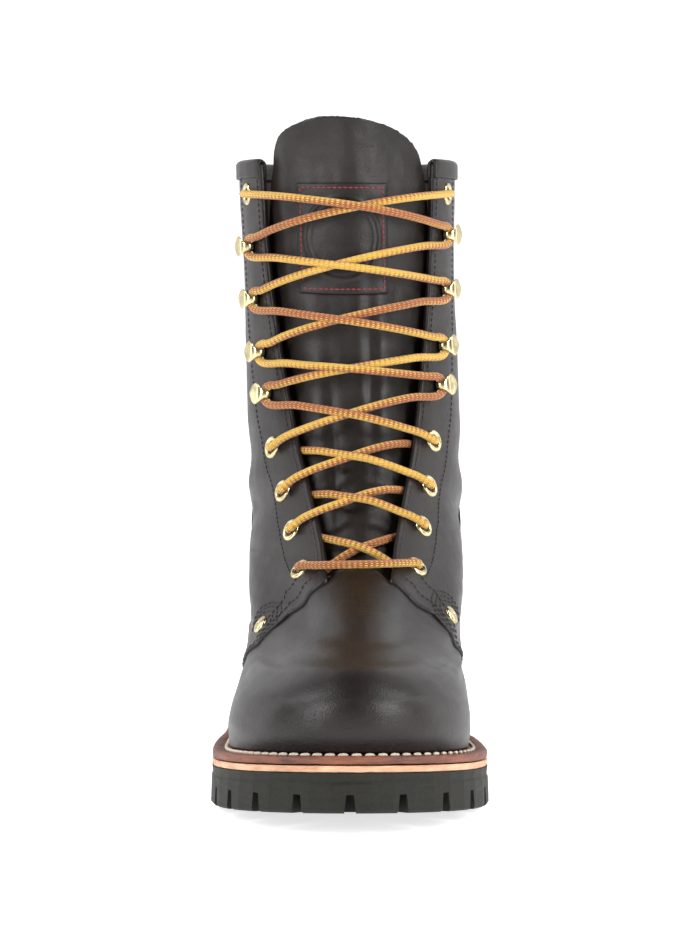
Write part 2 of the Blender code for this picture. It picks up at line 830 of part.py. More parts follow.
# Upper pieces

def quarter_edge(angle):
    """Row of the quarter's lower edge at an angle."""
    return straight(QUARTER_EDGE, math.degrees(abs(angle)))


def column_angle(column, row):
    """Angle of a column: the front columns share the throat, the others go round the heel."""
    edge = throat_angle(row)
    size = abs(column)
    sign = 1 if column >= 0 else -1
    if size <= FRONT_COLUMNS:
        return sign * edge * size / FRONT_COLUMNS
    share = (size - FRONT_COLUMNS) / SIDE_COLUMNS
    return sign * blend(edge, math.pi, share)


def upper_row(column, line):
    """Ring row at a column and grid line; the line VAMP_ROWS is the quarter's lower edge."""
    edge = quarter_edge(column_angle(column, 0))
    if line <= VAMP_ROWS:
        return edge * line / VAMP_ROWS
    share = (line - VAMP_ROWS - 1) / QUARTER_ROWS
    return blend(edge + QUARTER_STEP * STEP_RISE, COLLAR_RING, max(share, 0.0))


def upper_outside(column, line):
    """Outer point of the upper's grid."""
    row = upper_row(column, line)
    out = QUARTER_STEP if line > VAMP_ROWS else 0.0
    return shell_point(column_angle(column, row), row, out)


def upper_inside(column, line):
    """Inner point of the upper's grid."""
    row = upper_row(column, line)
    return shell_point(column_angle(column, row), row, -WALL)


def make_upper():
    """Vamp and quarters as one wall, open at the collar, the throat and underneath."""
    last = FRONT_COLUMNS + SIDE_COLUMNS
    lines = VAMP_ROWS + 1 + QUARTER_ROWS

    def key(column, line):
        return (-last if column == last else column, line)

    cells = []
    for column in range(-last, last):
        front = -FRONT_COLUMNS <= column < FRONT_COLUMNS
        for line in range(VAMP_ROWS if front else lines):
            cells.append((key(column, line), key(column + 1, line),
                          key(column + 1, line + 1), key(column, line + 1)))
    upper = shell("upper", upper_outside, upper_inside, cells, "leather")
    boolean(upper, hardware_seats(), "DIFFERENCE")
    return upper


def tongue_share(column, columns):
    """How far a column of the tongue lies from its middle; columns crowd toward its edges."""
    return math.sin(math.pi / 2 * abs(column) / columns)


def tongue_row(column, line, columns, lines):
    """Ring row at a place of the tongue's grid, under a rounded top."""
    share = tongue_share(column, columns)
    low = TONGUE_DEPTH[0][0]
    side = COLLAR_RING - TONGUE_SHOULDER
    top = side + (TONGUE_TOP_RISE + TONGUE_SHOULDER) * math.sqrt(max(0.0, 1 - share * share))
    return blend(low, top, line / lines)


def make_tongue():
    """The tongue, which follows the upper's inside and stands above the collar."""
    columns = 6
    lines = 14

    def angle(column, row):
        wide = angle_from_edge(min(row, COLLAR_RING), TONGUE_OVERLAP)
        narrow = wide * blend(0.55, 1.0, ease(THROAT_RING - 1.0, THROAT_RING + 1.0, row))
        top = blend(narrow, throat_angle(COLLAR_RING), ease(COLLAR_RING - 1.2, COLLAR_RING, row))
        return math.copysign(tongue_share(column, columns), column) * top

    def at(column, line, deeper):
        row = tongue_row(column, line, columns, lines)
        depth = straight(TONGUE_DEPTH, row) + deeper
        point = shell_point(angle(column, row), row, -depth)
        point.x -= TONGUE_SHIFT * ease(COLLAR_RING - 0.2, COLLAR_RING + 1.0, row)
        return point

    def outside(column, line):
        return at(column, line, 0.0)

    def inside(column, line):
        return at(column, line, TONGUE_THICKNESS)

    cells = []
    for column in range(-columns, columns):
        for line in range(lines):
            cells.append(((column, line), (column + 1, line), (column + 1, line + 1), (column, line + 1)))
    return shell("tongue", outside, inside, cells, "tongue_leather")


def make_counter():
    """The overlay outside the heel."""
    columns = 20
    lines = 6

    def place_of(column, line):
        share = column / columns
        row = COUNTER_FOOT
        for _ in range(6):
            sizes = ring_at(round(row, 5))
            y = (COUNTER_FRONT - 0.5) * SOLE_LENGTH + COUNTER_LEAN * line / lines
            start = math.acos(1 - 2 * (y - sizes["front"]) / (sizes["back"] - sizes["front"]))
            angle = blend(start, 2 * math.pi - start, share)
            rounding = 1 - (2 * share - 1) ** 2
            floor = welt_top(along_of(ring_point(angle, 0.0).y))
            height = floor + COUNTER_HEIGHT * blend(COUNTER_SHOULDER, 1.0, rounding)
            top = row_at_height(angle, height, 0.0, COLLAR_RING)
            row = blend(COUNTER_FOOT, top, line / lines)
        return angle, row

    def at(column, line, out):
        angle, row = place_of(column, line)
        point = shell_point(angle - 2 * math.pi if angle > math.pi else angle, row, out)
        point.z = max(point.z, welt_top(along_of(point.y)) + STAND_GAP)
        return point

    def outside(column, line):
        return at(column, line, QUARTER_STEP + COUNTER_CLEAR + COUNTER_THICKNESS)

    def inside(column, line):
        return at(column, line, QUARTER_STEP + COUNTER_CLEAR)

    cells = []
    for column in range(columns):
        for line in range(lines):
            cells.append(((column, line), (column + 1, line), (column + 1, line + 1), (column, line + 1)))
    return shell("heel_counter", outside, inside, cells, "leather")


def make_binding():
    """The strip folded over the collar's edge."""
    outer = QUARTER_STEP + GAP
    inner = -WALL - GAP
    thick = BINDING_THICKNESS
    section = (
        (outer, -BINDING_DROP),
        (outer + thick, -BINDING_DROP),
        (outer + thick, GAP + thick * 0.3),
        (outer + thick * 0.2, GAP + thick * 1.4),
        (inner - thick * 0.2, GAP + thick * 1.4),
        (inner - thick, GAP + thick * 0.3),
        (inner - thick, -BINDING_DROP),
        (inner, -BINDING_DROP),
        (inner, GAP),
        (outer, GAP),
    )
    columns = 2 * SIDE_COLUMNS
    start = throat_angle(COLLAR_RING)
    vertices = []
    for i in range(columns + 1):
        angle = blend(start, 2 * math.pi - start, i / columns)
        angle = angle - 2 * math.pi if angle > math.pi else angle
        point, _, upward, outward = surface(round(angle, 6), float(COLLAR_RING))
        for out, up in section:
            vertices.append(point + outward * out + upward * up)
    size = len(section)
    faces = []
    for i in range(columns):
        for j in range(size):
            after = (j + 1) % size
            low = i * size
            faces.append((low + j, low + after, low + size + after, low + size + j))
    for first in (0, columns * size):
        faces.append((first + 0, first + 1, first + 2, first + 9))
        faces.append((first + 2, first + 3, first + 4, first + 5, first + 8, first + 9))
        faces.append((first + 5, first + 6, first + 7, first + 8))
    return build("collar_binding", vertices, faces, "leather_edge")


# Hardware

def lacing_place(name, side, rise=0.0):
    """Angle and row of a hole or hook on one side (+1 is medial), or of a place above it."""
    _, _, lateral, medial, lateral_back, medial_back = LACING_ROWS[name]
    share = (medial if side > 0 else lateral) + rise
    back = medial_back if side > 0 else lateral_back
    height = blend(INSTEP_HEIGHT, COLLAR_HEIGHT, share)
    row = float(THROAT_RING)
    for _ in range(4):
        angle = angle_from_edge(row, back)
        row = row_at_height(side * angle, height)
    return side * angle_from_edge(row, back), row


def surface_frame(angle, row, out):
    """A matrix on the surface: X goes round away from the throat, Z points out."""
    point, around, _, outward = surface(round(angle, 6), round(row, 5))
    away = around if angle > 0 else -around
    up = outward.cross(away).normalized()
    frame = Matrix((away, up, outward)).transposed().to_4x4()
    frame.translation = point + outward * out
    return frame


def hardware_frames():
    """Name, kind and matrix of each eyelet, hook and rivet."""
    frames = []
    level = QUARTER_STEP - SEAT_DEPTH
    for side, word in ((-1, "lateral"), (1, "medial")):
        for name, kind, *_ in LACING:
            frame = surface_frame(*lacing_place(name, side), level)
            frames.append((f"{name}_{word}", kind, frame))
    for word, angle, row in RIVETS:
        frames.append((f"rivet_{word}", "rivet", surface_frame(math.radians(angle), row, level)))
    return frames


def hardware_seats():
    """The cutter for the flat seats of the hardware and the holes for the eyelets' barrels."""
    sides = 8
    corner = 1 / math.cos(math.pi / sides)
    seats = {
        "eyelet": (EYELET_DIAMETER / 2 + GAP) * corner,
        "hook": (HOOK_LENGTH / 2 + GAP) * corner,
        "rivet": (RIVET_DIAMETER / 2 + GAP) * corner,
    }
    hole = (EYELET_HOLE / 2 + BARREL_WALL + GAP) * corner
    vertices = []
    faces = []
    for _, kind, frame in hardware_frames():
        levels = [(seats[kind], -GAP), (seats[kind], SEAT_CLEAR)]
        if kind == "eyelet":
            levels = [(hole, -SEAT_CLEAR), (hole, -GAP)] + levels
        start = len(vertices)
        for radius, height in levels:
            for i in range(sides):
                turn = 2 * math.pi * i / sides
                spot = Vector((radius * math.cos(turn), radius * math.sin(turn), height))
                vertices.append(frame @ spot)
        for level in range(len(levels) - 1):
            low = start + level * sides
            for i in range(sides):
                after = (i + 1) % sides
                faces.append((low + i, low + after, low + sides + after, low + sides + i))
        faces.append([start + i for i in reversed(range(sides))])
        faces.append([len(vertices) - sides + i for i in range(sides)])
    return build("seat_cutter", vertices, faces, "brass")


def turned(name, profile, look, sides=16):
    """A mesh turned about Z from a profile of radius and height."""
    form = bmesh.new()
    points = [form.verts.new((radius, 0, height)) for radius, height in profile]
    edges = []
    loops = list(zip(points, points[1:]))
    if profile[0][0] > 0:
        loops.append((points[-1], points[0]))
    for start, end in loops:
        edges.append(form.edges.new((start, end)))
    bmesh.ops.spin(form, geom=points + edges, cent=(0, 0, 0), axis=(0, 0, 1),
                   angle=2 * math.pi, steps=sides, use_merge=True)
    bmesh.ops.remove_doubles(form, verts=form.verts, dist=0.00001)
    bmesh.ops.recalc_face_normals(form, faces=form.faces)
    mesh = bpy.data.meshes.new(name)
    form.to_mesh(mesh)
    form.free()
    mesh.shade_smooth()
    mesh.set_sharp_from_angle(angle=math.radians(50))
    mesh.materials.append(material(look))
    return mesh


def eyelet_mesh():
    """A flanged ring with a barrel through the wall."""
    hole = EYELET_HOLE / 2
    rim = EYELET_DIAMETER / 2
    barrel = hole + BARREL_WALL
    reach = -(WALL + QUARTER_STEP)
    profile = (
        (hole, reach),
        (barrel, reach),
        (barrel, 0.0),
        (rim, 0.0),
        (rim - BARREL_WALL, EYELET_HEIGHT * 0.75),
        (blend(hole, rim, 0.5), EYELET_HEIGHT),
        (hole, EYELET_HEIGHT * 0.55),
    )
    return turned("eyelet", profile, "brass", 12)


def rivet_mesh():
    """A low domed rivet head."""
    rim = RIVET_DIAMETER / 2
    profile = (
        (0.0, 0.0),
        (rim, 0.0),
        (rim * 0.93, RIVET_HEIGHT * 0.55),
        (rim * 0.6, RIVET_HEIGHT * 0.9),
        (0.0, RIVET_HEIGHT),
    )
    return turned("rivet", profile, "brass", 12)


def hook_mesh():
    """A speed hook: a riveted base, a bend on the throat's side and an oval head over it."""
    half = HOOK_LENGTH / 2
    wide = HOOK_WIDTH / 2
    base = HOOK_METAL / 2
    head = HOOK_HEIGHT - HOOK_METAL / 2
    middle = (base + head) / 2
    # Columns: along, height, half width.
    path = (
        (0.90 * half, base, 0.35 * wide),
        (0.60 * half, base, 0.75 * wide),
        (0.10 * half, base, 0.92 * wide),
        (-0.45 * half, base, 0.74 * wide),
        (-0.85 * half, blend(base, middle, 0.35), 0.50 * wide),
        (-1.00 * half, middle, 0.42 * wide),
        (-0.85 * half, blend(head, middle, 0.35), 0.50 * wide),
        (-0.45 * half, head, 0.78 * wide),
        (0.10 * half, head, 1.00 * wide),
        (0.60 * half, head, 0.86 * wide),
        (0.90 * half, head, 0.45 * wide),
    )
    vertices = []
    for i, (along, height, width) in enumerate(path):
        before = path[max(i - 1, 0)]
        after = path[min(i + 1, len(path) - 1)]
        ahead = Vector((after[0] - before[0], 0, after[1] - before[1])).normalized()
        over = Vector((ahead.z, 0, -ahead.x)) * (HOOK_METAL / 2)
        centre = Vector((along, 0, height))
        for side, level in ((-1, -1), (1, -1), (1, 1), (-1, 1)):
            vertices.append(centre + Vector((0, side * width, 0)) + over * level)
    faces = []
    for i in range(len(path) - 1):
        for j in range(4):
            after = (j + 1) % 4
            low = i * 4
            faces.append((low + j, low + after, low + 4 + after, low + 4 + j))
    faces.append((0, 1, 2, 3))
    last = len(vertices) - 4
    faces.append((last, last + 1, last + 2, last + 3))
    made = build("hook", vertices, faces, "brass", 50.0)
    mesh = made.data
    bpy.data.objects.remove(made)
    return mesh


def make_hardware():
    """Eyelets, hooks and rivets, each its own object on a shared mesh."""
    meshes = {"eyelet": eyelet_mesh(), "hook": hook_mesh(), "rivet": rivet_mesh()}
    for name, kind, frame in hardware_frames():
        place(name, meshes[kind], frame)


# Lace

def strand(name, start, end, start_out, end_out, middle_out, bow=LACE_BOW):
    """One run of lace over the surface between two places, each an angle and a row."""
    line = []
    for i in range(LACE_STEPS + 1):
        share = i / LACE_STEPS
        angle = blend(start[0], end[0], share)
        row = blend(start[1], end[1], 1 - (1 - share) ** bow)
        if share < 0.5:
            out = blend(start_out, middle_out, ease(0.0, 0.3, share))
        else:
            out = blend(end_out, middle_out, ease(0.0, 0.3, 1 - share))
        line.append(shell_point(angle, row, out))
    return tube(name, line, LACE_DIAMETER / 2, "lace_cord", LACE_SIDES)


def crossing(name, first, second):
    """Two runs of lace joined where they cross."""
    top = strand(name, *first)
    below = strand(name + "_under", *second)
    boolean(top, below, "UNION")
    return top


def at_hole(name, side):
    """The place over an eyelet."""
    return lacing_place(name, side)


def beside_hook(name, side, rise):
    """The place on the throat's side of a hook, above or below its middle."""
    angle, row = lacing_place(name, side, rise)
    return blend(angle, side * throat_angle(row), HOOK_CLEAR), row


def at_facing(low, high, share, side):
    """The place just off the facing's edge, a share of the way from one pair to the next."""
    _, below = lacing_place(low, side)
    _, above = lacing_place(high, side)
    row = blend(below, above, share)
    sizes = ring_at(round(row, 5))
    half = smooth(STATIONS, sizes["halves"], STATIONS[0])
    return side * (throat_angle(row) - (LACE_DIAMETER / 2 + GAP * 2) / half), row


def make_lace():
    """The bottom bar and the crossings above it."""
    radius = LACE_DIAMETER / 2
    flat = QUARTER_STEP + GAP + radius
    over = QUARTER_STEP + EYELET_HEIGHT + 2 * GAP + radius
    strand("lace_bar", at_hole("eyelet_4", -1), at_hole("eyelet_4", 1), over, over, flat, 1.0)
    inner = []
    for side in (-1, 1):
        start = at_facing("eyelet_4", "eyelet_3", INNER_START, side)
        end = at_facing("eyelet_4", "eyelet_3", INNER_END, -side)
        inner.append((start, end, -radius, -radius, -radius))
    crossing("lace_cross_1", *inner)
    for number, (low, high) in enumerate((("eyelet_3", "eyelet_2"), ("eyelet_2", "eyelet_1"))):
        runs = []
        for side in (-1, 1):
            runs.append((at_hole(low, side), at_facing(low, high, DIVE, -side), over, -radius, flat))
        crossing(f"lace_cross_{number + 2}", *runs)
    levels = ["eyelet_1", "hook_4", "hook_3", "hook_2", "hook_1", "eyelet_top"]
    for number, (low, high) in enumerate(zip(levels, levels[1:])):
        runs = []
        for side in (-1, 1):
            start = at_hole(low, side) if low == "eyelet_1" else beside_hook(low, side, HOOK_LOOP)
            end = at_hole(high, -side) if high == "eyelet_top" else beside_hook(high, -side, -HOOK_LOOP)
            runs.append((start, end, over, over, flat))
        crossing(f"lace_cross_{number + 4}", *runs)


def main():
    """Builds the boot."""
    clear_scene()
    make_outsole()
    make_heel()
    make_midsole()
    make_welt()
    make_insole()
    make_upper()
    make_tongue()
    make_counter()
    make_binding()
    make_hardware()
    make_lace()


main()
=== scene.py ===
"""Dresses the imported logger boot: leather, seams, sole edge, brass and lace, with camera and lights."""
import logging
import math
from dataclasses import dataclass, field
from enum import Enum
from functools import lru_cache
from typing import Callable, Protocol, Sequence

import bmesh
import bpy
from mathutils import Euler, Matrix, Vector, noise


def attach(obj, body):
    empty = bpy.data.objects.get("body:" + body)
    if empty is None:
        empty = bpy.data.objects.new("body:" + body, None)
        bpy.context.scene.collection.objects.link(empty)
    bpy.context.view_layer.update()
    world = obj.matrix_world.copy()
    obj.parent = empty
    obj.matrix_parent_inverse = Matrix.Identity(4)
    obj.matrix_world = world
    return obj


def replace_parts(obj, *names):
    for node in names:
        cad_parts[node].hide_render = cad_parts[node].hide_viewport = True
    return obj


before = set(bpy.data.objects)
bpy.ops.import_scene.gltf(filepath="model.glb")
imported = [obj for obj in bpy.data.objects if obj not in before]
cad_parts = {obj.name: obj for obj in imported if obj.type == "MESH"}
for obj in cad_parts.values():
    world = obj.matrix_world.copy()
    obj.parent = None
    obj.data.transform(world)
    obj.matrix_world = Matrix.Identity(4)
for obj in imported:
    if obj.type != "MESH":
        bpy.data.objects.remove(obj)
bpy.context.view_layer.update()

LOG = logging.getLogger("logger_boot")
Spot = tuple[float, float]
Colour = tuple[float, float, float]
Placer = Callable[[float, float], Vector]
Socket = bpy.types.NodeSocket
TURN = 2 * math.pi


class Side(Enum):
    """Sides of the foot, by the sign of X."""

    LATERAL = -1
    MEDIAL = 1


class Brassware(Enum):
    """Kinds of brass piece at the lacing."""

    EYELET = "eyelet"
    HOOK = "hook"


# Small sums

def blend(first: float, second: float, share: float) -> float:
    """Returns the value a share of the way from the first to the second."""
    return first + (second - first) * share


def ease(low: float, high: float, at: float) -> float:
    """Returns a value that rises smoothly from 0 to 1 between two places."""
    share = min(max((at - low) / (high - low), 0.0), 1.0)
    return share * share * (3 - 2 * share)


def hump(at: float, centre: float, reach: float) -> float:
    """Returns a bell of height 1 at its centre."""
    return math.exp(-(((at - centre) / reach) ** 2))


def wrapped(angle: float) -> float:
    """Returns an angle of the second half turn as the same one below zero."""
    return angle - TURN if angle > math.pi else angle


def seated(x: Vector, y: Vector, z: Vector, origin: Vector) -> Matrix:
    """Returns the matrix of three axes and an origin.

    Args:
        x: First axis.
        y: Second axis.
        z: Third axis.
        origin: Where it sits.

    Returns:
        The matrix.
    """
    matrix = Matrix((x, y, z)).transposed().to_4x4()
    matrix.translation = origin
    return matrix


def facing(place: Sequence[float], target: Sequence[float]) -> Euler:
    """Returns the turn of a light or camera that looks from a place at a target."""
    return (Vector(target) - Vector(place)).to_track_quat("-Z", "Y").to_euler()


def smooth(keys: Sequence[float], values: Sequence[float], at: float) -> float:
    """Reads a smooth curve through keys and values.

    Args:
        keys: Rising places.
        values: The value at each place.
        at: The place to read, also past the ends.

    Returns:
        The value there.
    """
    last = len(keys) - 1
    low = 0
    while low < last - 1 and at > keys[low + 1]:
        low += 1

    def slope(i: int) -> float:
        """Returns the slope at a key.

        Args:
            i: Number of the key.

        Returns:
            The slope.
        """
        before = max(i - 1, 0)
        after = min(i + 1, last)
        return (values[after] - values[before]) / (keys[after] - keys[before])

    span = keys[low + 1] - keys[low]
    share = (at - keys[low]) / span
    if share < 0:
        return values[low] + slope(low) * (at - keys[low])
    if share > 1:
        return values[low + 1] + slope(low + 1) * (at - keys[low + 1])
    square = share * share
    cube = square * share
    return (values[low] * (2 * cube - 3 * square + 1) + slope(low) * span * (cube - 2 * square + share)
            + values[low + 1] * (3 * square - 2 * cube) + slope(low + 1) * span * (cube - square))


def straight(pairs: Sequence[Spot], at: float) -> float:
    """Returns the value at a place on straight lines through pairs, level past their ends.

    Args:
        pairs: Rising places, each with its value.
        at: The place to read.

    Returns:
        The value.
    """
    if at <= pairs[0][0]:
        return pairs[0][1]
    for (low, first), (high, second) in zip(pairs, pairs[1:]):
        if at <= high:
            return first + (second - first) * (at - low) / (high - low)
    return pairs[-1][1]


STATIONS = (0.04, 0.14, 0.33, 0.62, 0.88)


@dataclass(frozen=True)
class SoleLine:
    """Outline and levels of the sole, in metres."""

    gap: float = 0.0003
    length: float = 0.306
    width: float = 0.114
    outsole: float = 0.0158
    midsole: float = 0.0025
    welt: float = 0.0033
    welt_width: float = 0.0135
    edge_inset: float = 0.0008
    toe_spring: float = 0.010
    heel_rise: float = 0.036
    toe_roll: float = 0.327
    toe_curve: float = 1.25
    arch_start: float = 0.43
    heel_breast: float = 0.735
    lateral: tuple[float, ...] = (0.270, 0.440, 0.500, 0.405, 0.345)
    medial: tuple[float, ...] = (0.280, 0.448, 0.490, 0.345, 0.335)

    def lift(self, along: float) -> float:
        """Returns how far the sole's top stands above the ball's at a share of its length."""
        toe = max(0.0, 1 - along / self.toe_roll)
        return self.toe_spring * toe**self.toe_curve + self.heel_rise * ease(self.arch_start, self.heel_breast, along)

    def midsole_bottom(self, along: float) -> float:
        """Returns the height of the midsole's bottom."""
        return self.outsole + self.lift(along) + self.gap

    def welt_bottom(self, along: float) -> float:
        """Returns the height of the welt's bottom."""
        return self.midsole_bottom(along) + self.midsole + 2 * self.gap

    def welt_top(self, along: float) -> float:
        """Returns the height of the welt's top."""
        return self.welt_bottom(along) + self.welt

    def along_of(self, y: float) -> float:
        """Returns the share of the sole's length at a Y."""
        return y / self.length + 0.5

    def point(self, angle: float, inset: float, height: Callable[[float], float], rise: float = 0.0) -> Vector:
        """Finds a point of the outline.

        Args:
            angle: Turn round the outline; 0 is the toe.
            inset: Distance drawn in from the edge.
            height: Level at a share of the length.
            rise: Distance above that level.

        Returns:
            The point.
        """
        share = (1 - math.cos(angle)) / 2
        halves = self.medial if math.sin(angle) >= 0 else self.lateral
        ratios = [h * self.width / (2 * math.sqrt(s * (1 - s))) for s, h in zip(STATIONS, halves)]
        half = smooth(STATIONS, ratios, min(max(share, STATIONS[0]), STATIONS[-1])) - inset
        along = blend(inset / self.length, 1 - inset / self.length, share)
        return Vector((half * math.sin(angle), (along - 0.5) * self.length, height(along) + rise))


SOLE = SoleLine()
FOOT = 0.101
SHAFT = 0.0942
# Rings of the upper. Columns: front and back, heights of front and back, lean of front and back,
# the size that the widths follow, half widths at the stations, and half of the throat gap.
RINGS = (
    (0.0084, 0.9866, 0.00, 0.000, 0.010, 0.018, FOOT, (0.262, 0.436, 0.475, 0.345, 0.322), 0.150),
    (0.0000, 0.9916, 0.165, 0.114, 0.012, 0.018, FOOT, (0.270, 0.441, 0.484, 0.368, 0.346), 0.150),
    (0.0075, 0.9950, 0.350, 0.229, 0.018, 0.018, FOOT, (0.252, 0.412, 0.470, 0.398, 0.363), 0.150),
    (0.0430, 0.9966, 0.490, 0.343, 0.022, 0.018, FOOT, (0.190, 0.345, 0.443, 0.420, 0.370), 0.150),
    (0.1193, 0.9983, 0.575, 0.486, 0.026, 0.018, FOOT, (0.150, 0.262, 0.400, 0.441, 0.375), 0.150),
    (0.2639, 1.0000, 0.755, 0.657, 0.032, 0.018, FOOT, (0.117, 0.200, 0.405, 0.447, 0.360), 0.150),
    (0.4185, 1.0000, 1.000, 0.886, 0.036, 0.018, SHAFT, (0.160, 0.309, 0.464, 0.464, 0.361), 0.151),
    (0.5050, 0.9900, 1.148, 1.112, 0.030, 0.018, SHAFT, (0.177, 0.322, 0.450, 0.480, 0.348), 0.206),
    (0.5800, 0.9630, 1.337, 1.337, 0.018, 0.014, SHAFT, (0.186, 0.336, 0.461, 0.480, 0.329), 0.284),
    (0.6130, 0.9765, 1.663, 1.692, -0.003, -0.003, SHAFT, (0.192, 0.339, 0.460, 0.474, 0.318), 0.364),
    (0.6200, 1.0000, 2.000, 1.976, -0.014, -0.014, SHAFT, (0.196, 0.347, 0.470, 0.486, 0.325), 0.397),
    (0.6100, 1.0100, 2.113, 2.090, -0.017, -0.017, SHAFT, (0.196, 0.347, 0.470, 0.486, 0.325), 0.400),
)
THROAT = 6
COLLAR = 10
QUARTER_EDGE = (
    (0.0, 6.02), (12.0, 5.90), (21.7, 5.67), (40.0, 5.35), (56.0, 4.93), (65.0, 4.42), (70.0, 4.10),
    (76.0, 3.50), (84.0, 2.40), (95.0, 1.30), (115.0, 0.60), (140.0, 0.40), (180.0, 0.34),
)


@dataclass(frozen=True)
class Last:
    """The upper's own surface: rings round the foot, from the feather edge to the collar."""

    length: float = 0.2965
    toe_margin: float = 0.0065
    instep: float = 0.093
    collar: float = 0.262
    stand_gap: float = 0.0008
    slant: float = 0.030
    waist: float = 0.0025

    @lru_cache(maxsize=None)
    def columns(self) -> tuple[list[float], ...]:
        """Returns the ring table in metres, one list for each column."""
        toe = self.toe_margin - SOLE.length / 2
        table: list[list[float]] = [[] for _ in range(7 + len(STATIONS))]
        for front, back, rise, back_rise, lean, back_lean, size, halves, throat in RINGS:
            row = [toe + front * self.length, toe + back * self.length, rise, back_rise,
                   lean * FOOT, back_lean * FOOT, throat * size]
            row += [h * size / (2 * math.sqrt(s * (1 - s))) for s, h in zip(STATIONS, halves)]
            for column, value in zip(table, row):
                column.append(value)
        return tuple(table)

    @lru_cache(maxsize=None)
    def ring(self, row: float) -> tuple[float, ...]:
        """Returns the sizes of the ring at a row."""
        keys = range(len(RINGS))
        return tuple(smooth(keys, column, row) for column in self.columns())

    def half(self, row: float, share: float) -> float:
        """Returns the half width before rounding at a row and a share of its length."""
        widths = self.ring(round(row, 3))[7:]
        return smooth(STATIONS, widths, min(max(share, STATIONS[0]), STATIONS[-1]))

    def point(self, angle: float, row: float) -> Vector:
        """Returns the point of the outside at an angle round the ring, where 0 is the front.

        Args:
            angle: Turn round the ring; 0 is the front.
            row: Row of the ring table.

        Returns:
            The point.
        """
        front, back, rise, back_rise, lean, back_lean = self.ring(round(row, 3))[:6]
        share = (1 - math.cos(angle)) / 2
        turn = math.sin(angle)
        y = blend(front, back, share)
        pinch = hump(share, 0.6, 0.18) * max(0.0, 1 - row / 3)
        x = blend(lean, back_lean, share) - self.waist * pinch + self.half(row, share + self.slant * turn) * turn
        height = blend(rise, back_rise, share)
        floor = SOLE.welt_top(SOLE.along_of(y)) + self.stand_gap
        if height <= 1:
            return Vector((x, y, blend(floor, self.instep, height)))
        return Vector((x, y, blend(self.instep, self.collar, height - 1)))

    @lru_cache(maxsize=None)
    def surface(self, angle: float, row: float) -> tuple[Vector, Vector, Vector]:
        """Returns a point and the directions round and out of the surface there.

        Args:
            angle: Turn round the ring; 0 is the front.
            row: Row of the ring table.

        Returns:
            The point and the two directions.
        """
        step = 0.02
        around = self.point(angle + step, row) - self.point(angle - step, row)
        upward = self.point(angle, row + step) - self.point(angle, max(row - step, 0.0))
        return self.point(angle, row), around.normalized(), around.cross(upward).normalized()

    def skin(self, angle: float, row: float) -> tuple[Vector, Vector, Vector]:
        """Returns the surface at a place, rounded so that it is worked out only once."""
        return self.surface(round(angle, 5), round(row, 4))

    def shell(self, angle: float, row: float, out: float) -> Vector:
        """Returns a point at a distance outside the surface."""
        point, _, outward = self.skin(angle, row)
        return point + outward * out

    @lru_cache(maxsize=None)
    def throat(self, row: float) -> float:
        """Returns the angle from the front to the facing's edge.

        Args:
            row: Row of the ring table.

        Returns:
            The angle.
        """
        level = round(max(row, THROAT), 3)
        gap = self.ring(level)[6]
        angle = 0.4
        for _ in range(12):
            share = (1 - math.cos(angle)) / 2
            angle = math.asin(min(gap / self.half(level, share), 0.98))
        return angle

    @lru_cache(maxsize=None)
    def from_edge(self, row: float, distance: float) -> float:
        """Returns the angle of a place that lies a distance round from the facing's edge.

        Args:
            row: Row of the ring table.
            distance: Distance round from the edge.

        Returns:
            The angle.
        """
        angle = self.throat(row)
        step = 0.01
        passed = 0.0
        before = self.point(angle, row)
        while passed < distance:
            angle += step
            after = self.point(angle, row)
            passed += (after - before).length
            before = after
        return angle

    def row_at(self, angle: float, height: float, low: float = THROAT - 1.0, high: float = COLLAR + 1.0) -> float:
        """Returns the row at which the surface at an angle reaches a height.

        Args:
            angle: Turn round the ring; 0 is the front.
            height: Height to reach.
            low: Lowest row to look at.
            high: Highest row to look at.

        Returns:
            The row.
        """
        for _ in range(17):
            middle = (low + high) / 2
            if self.point(angle, middle).z < height:
                low = middle
            else:
                high = middle
        return (low + high) / 2

    def edge(self, angle: float) -> float:
        """Returns the row of the quarter's lower edge at an angle."""
        return straight(QUARTER_EDGE, math.degrees(abs(angle)))


LAST = Last()


# Materials

class Finish(Protocol):
    """Whatever can make a material."""

    def make(self) -> bpy.types.Material:
        """Returns the material."""


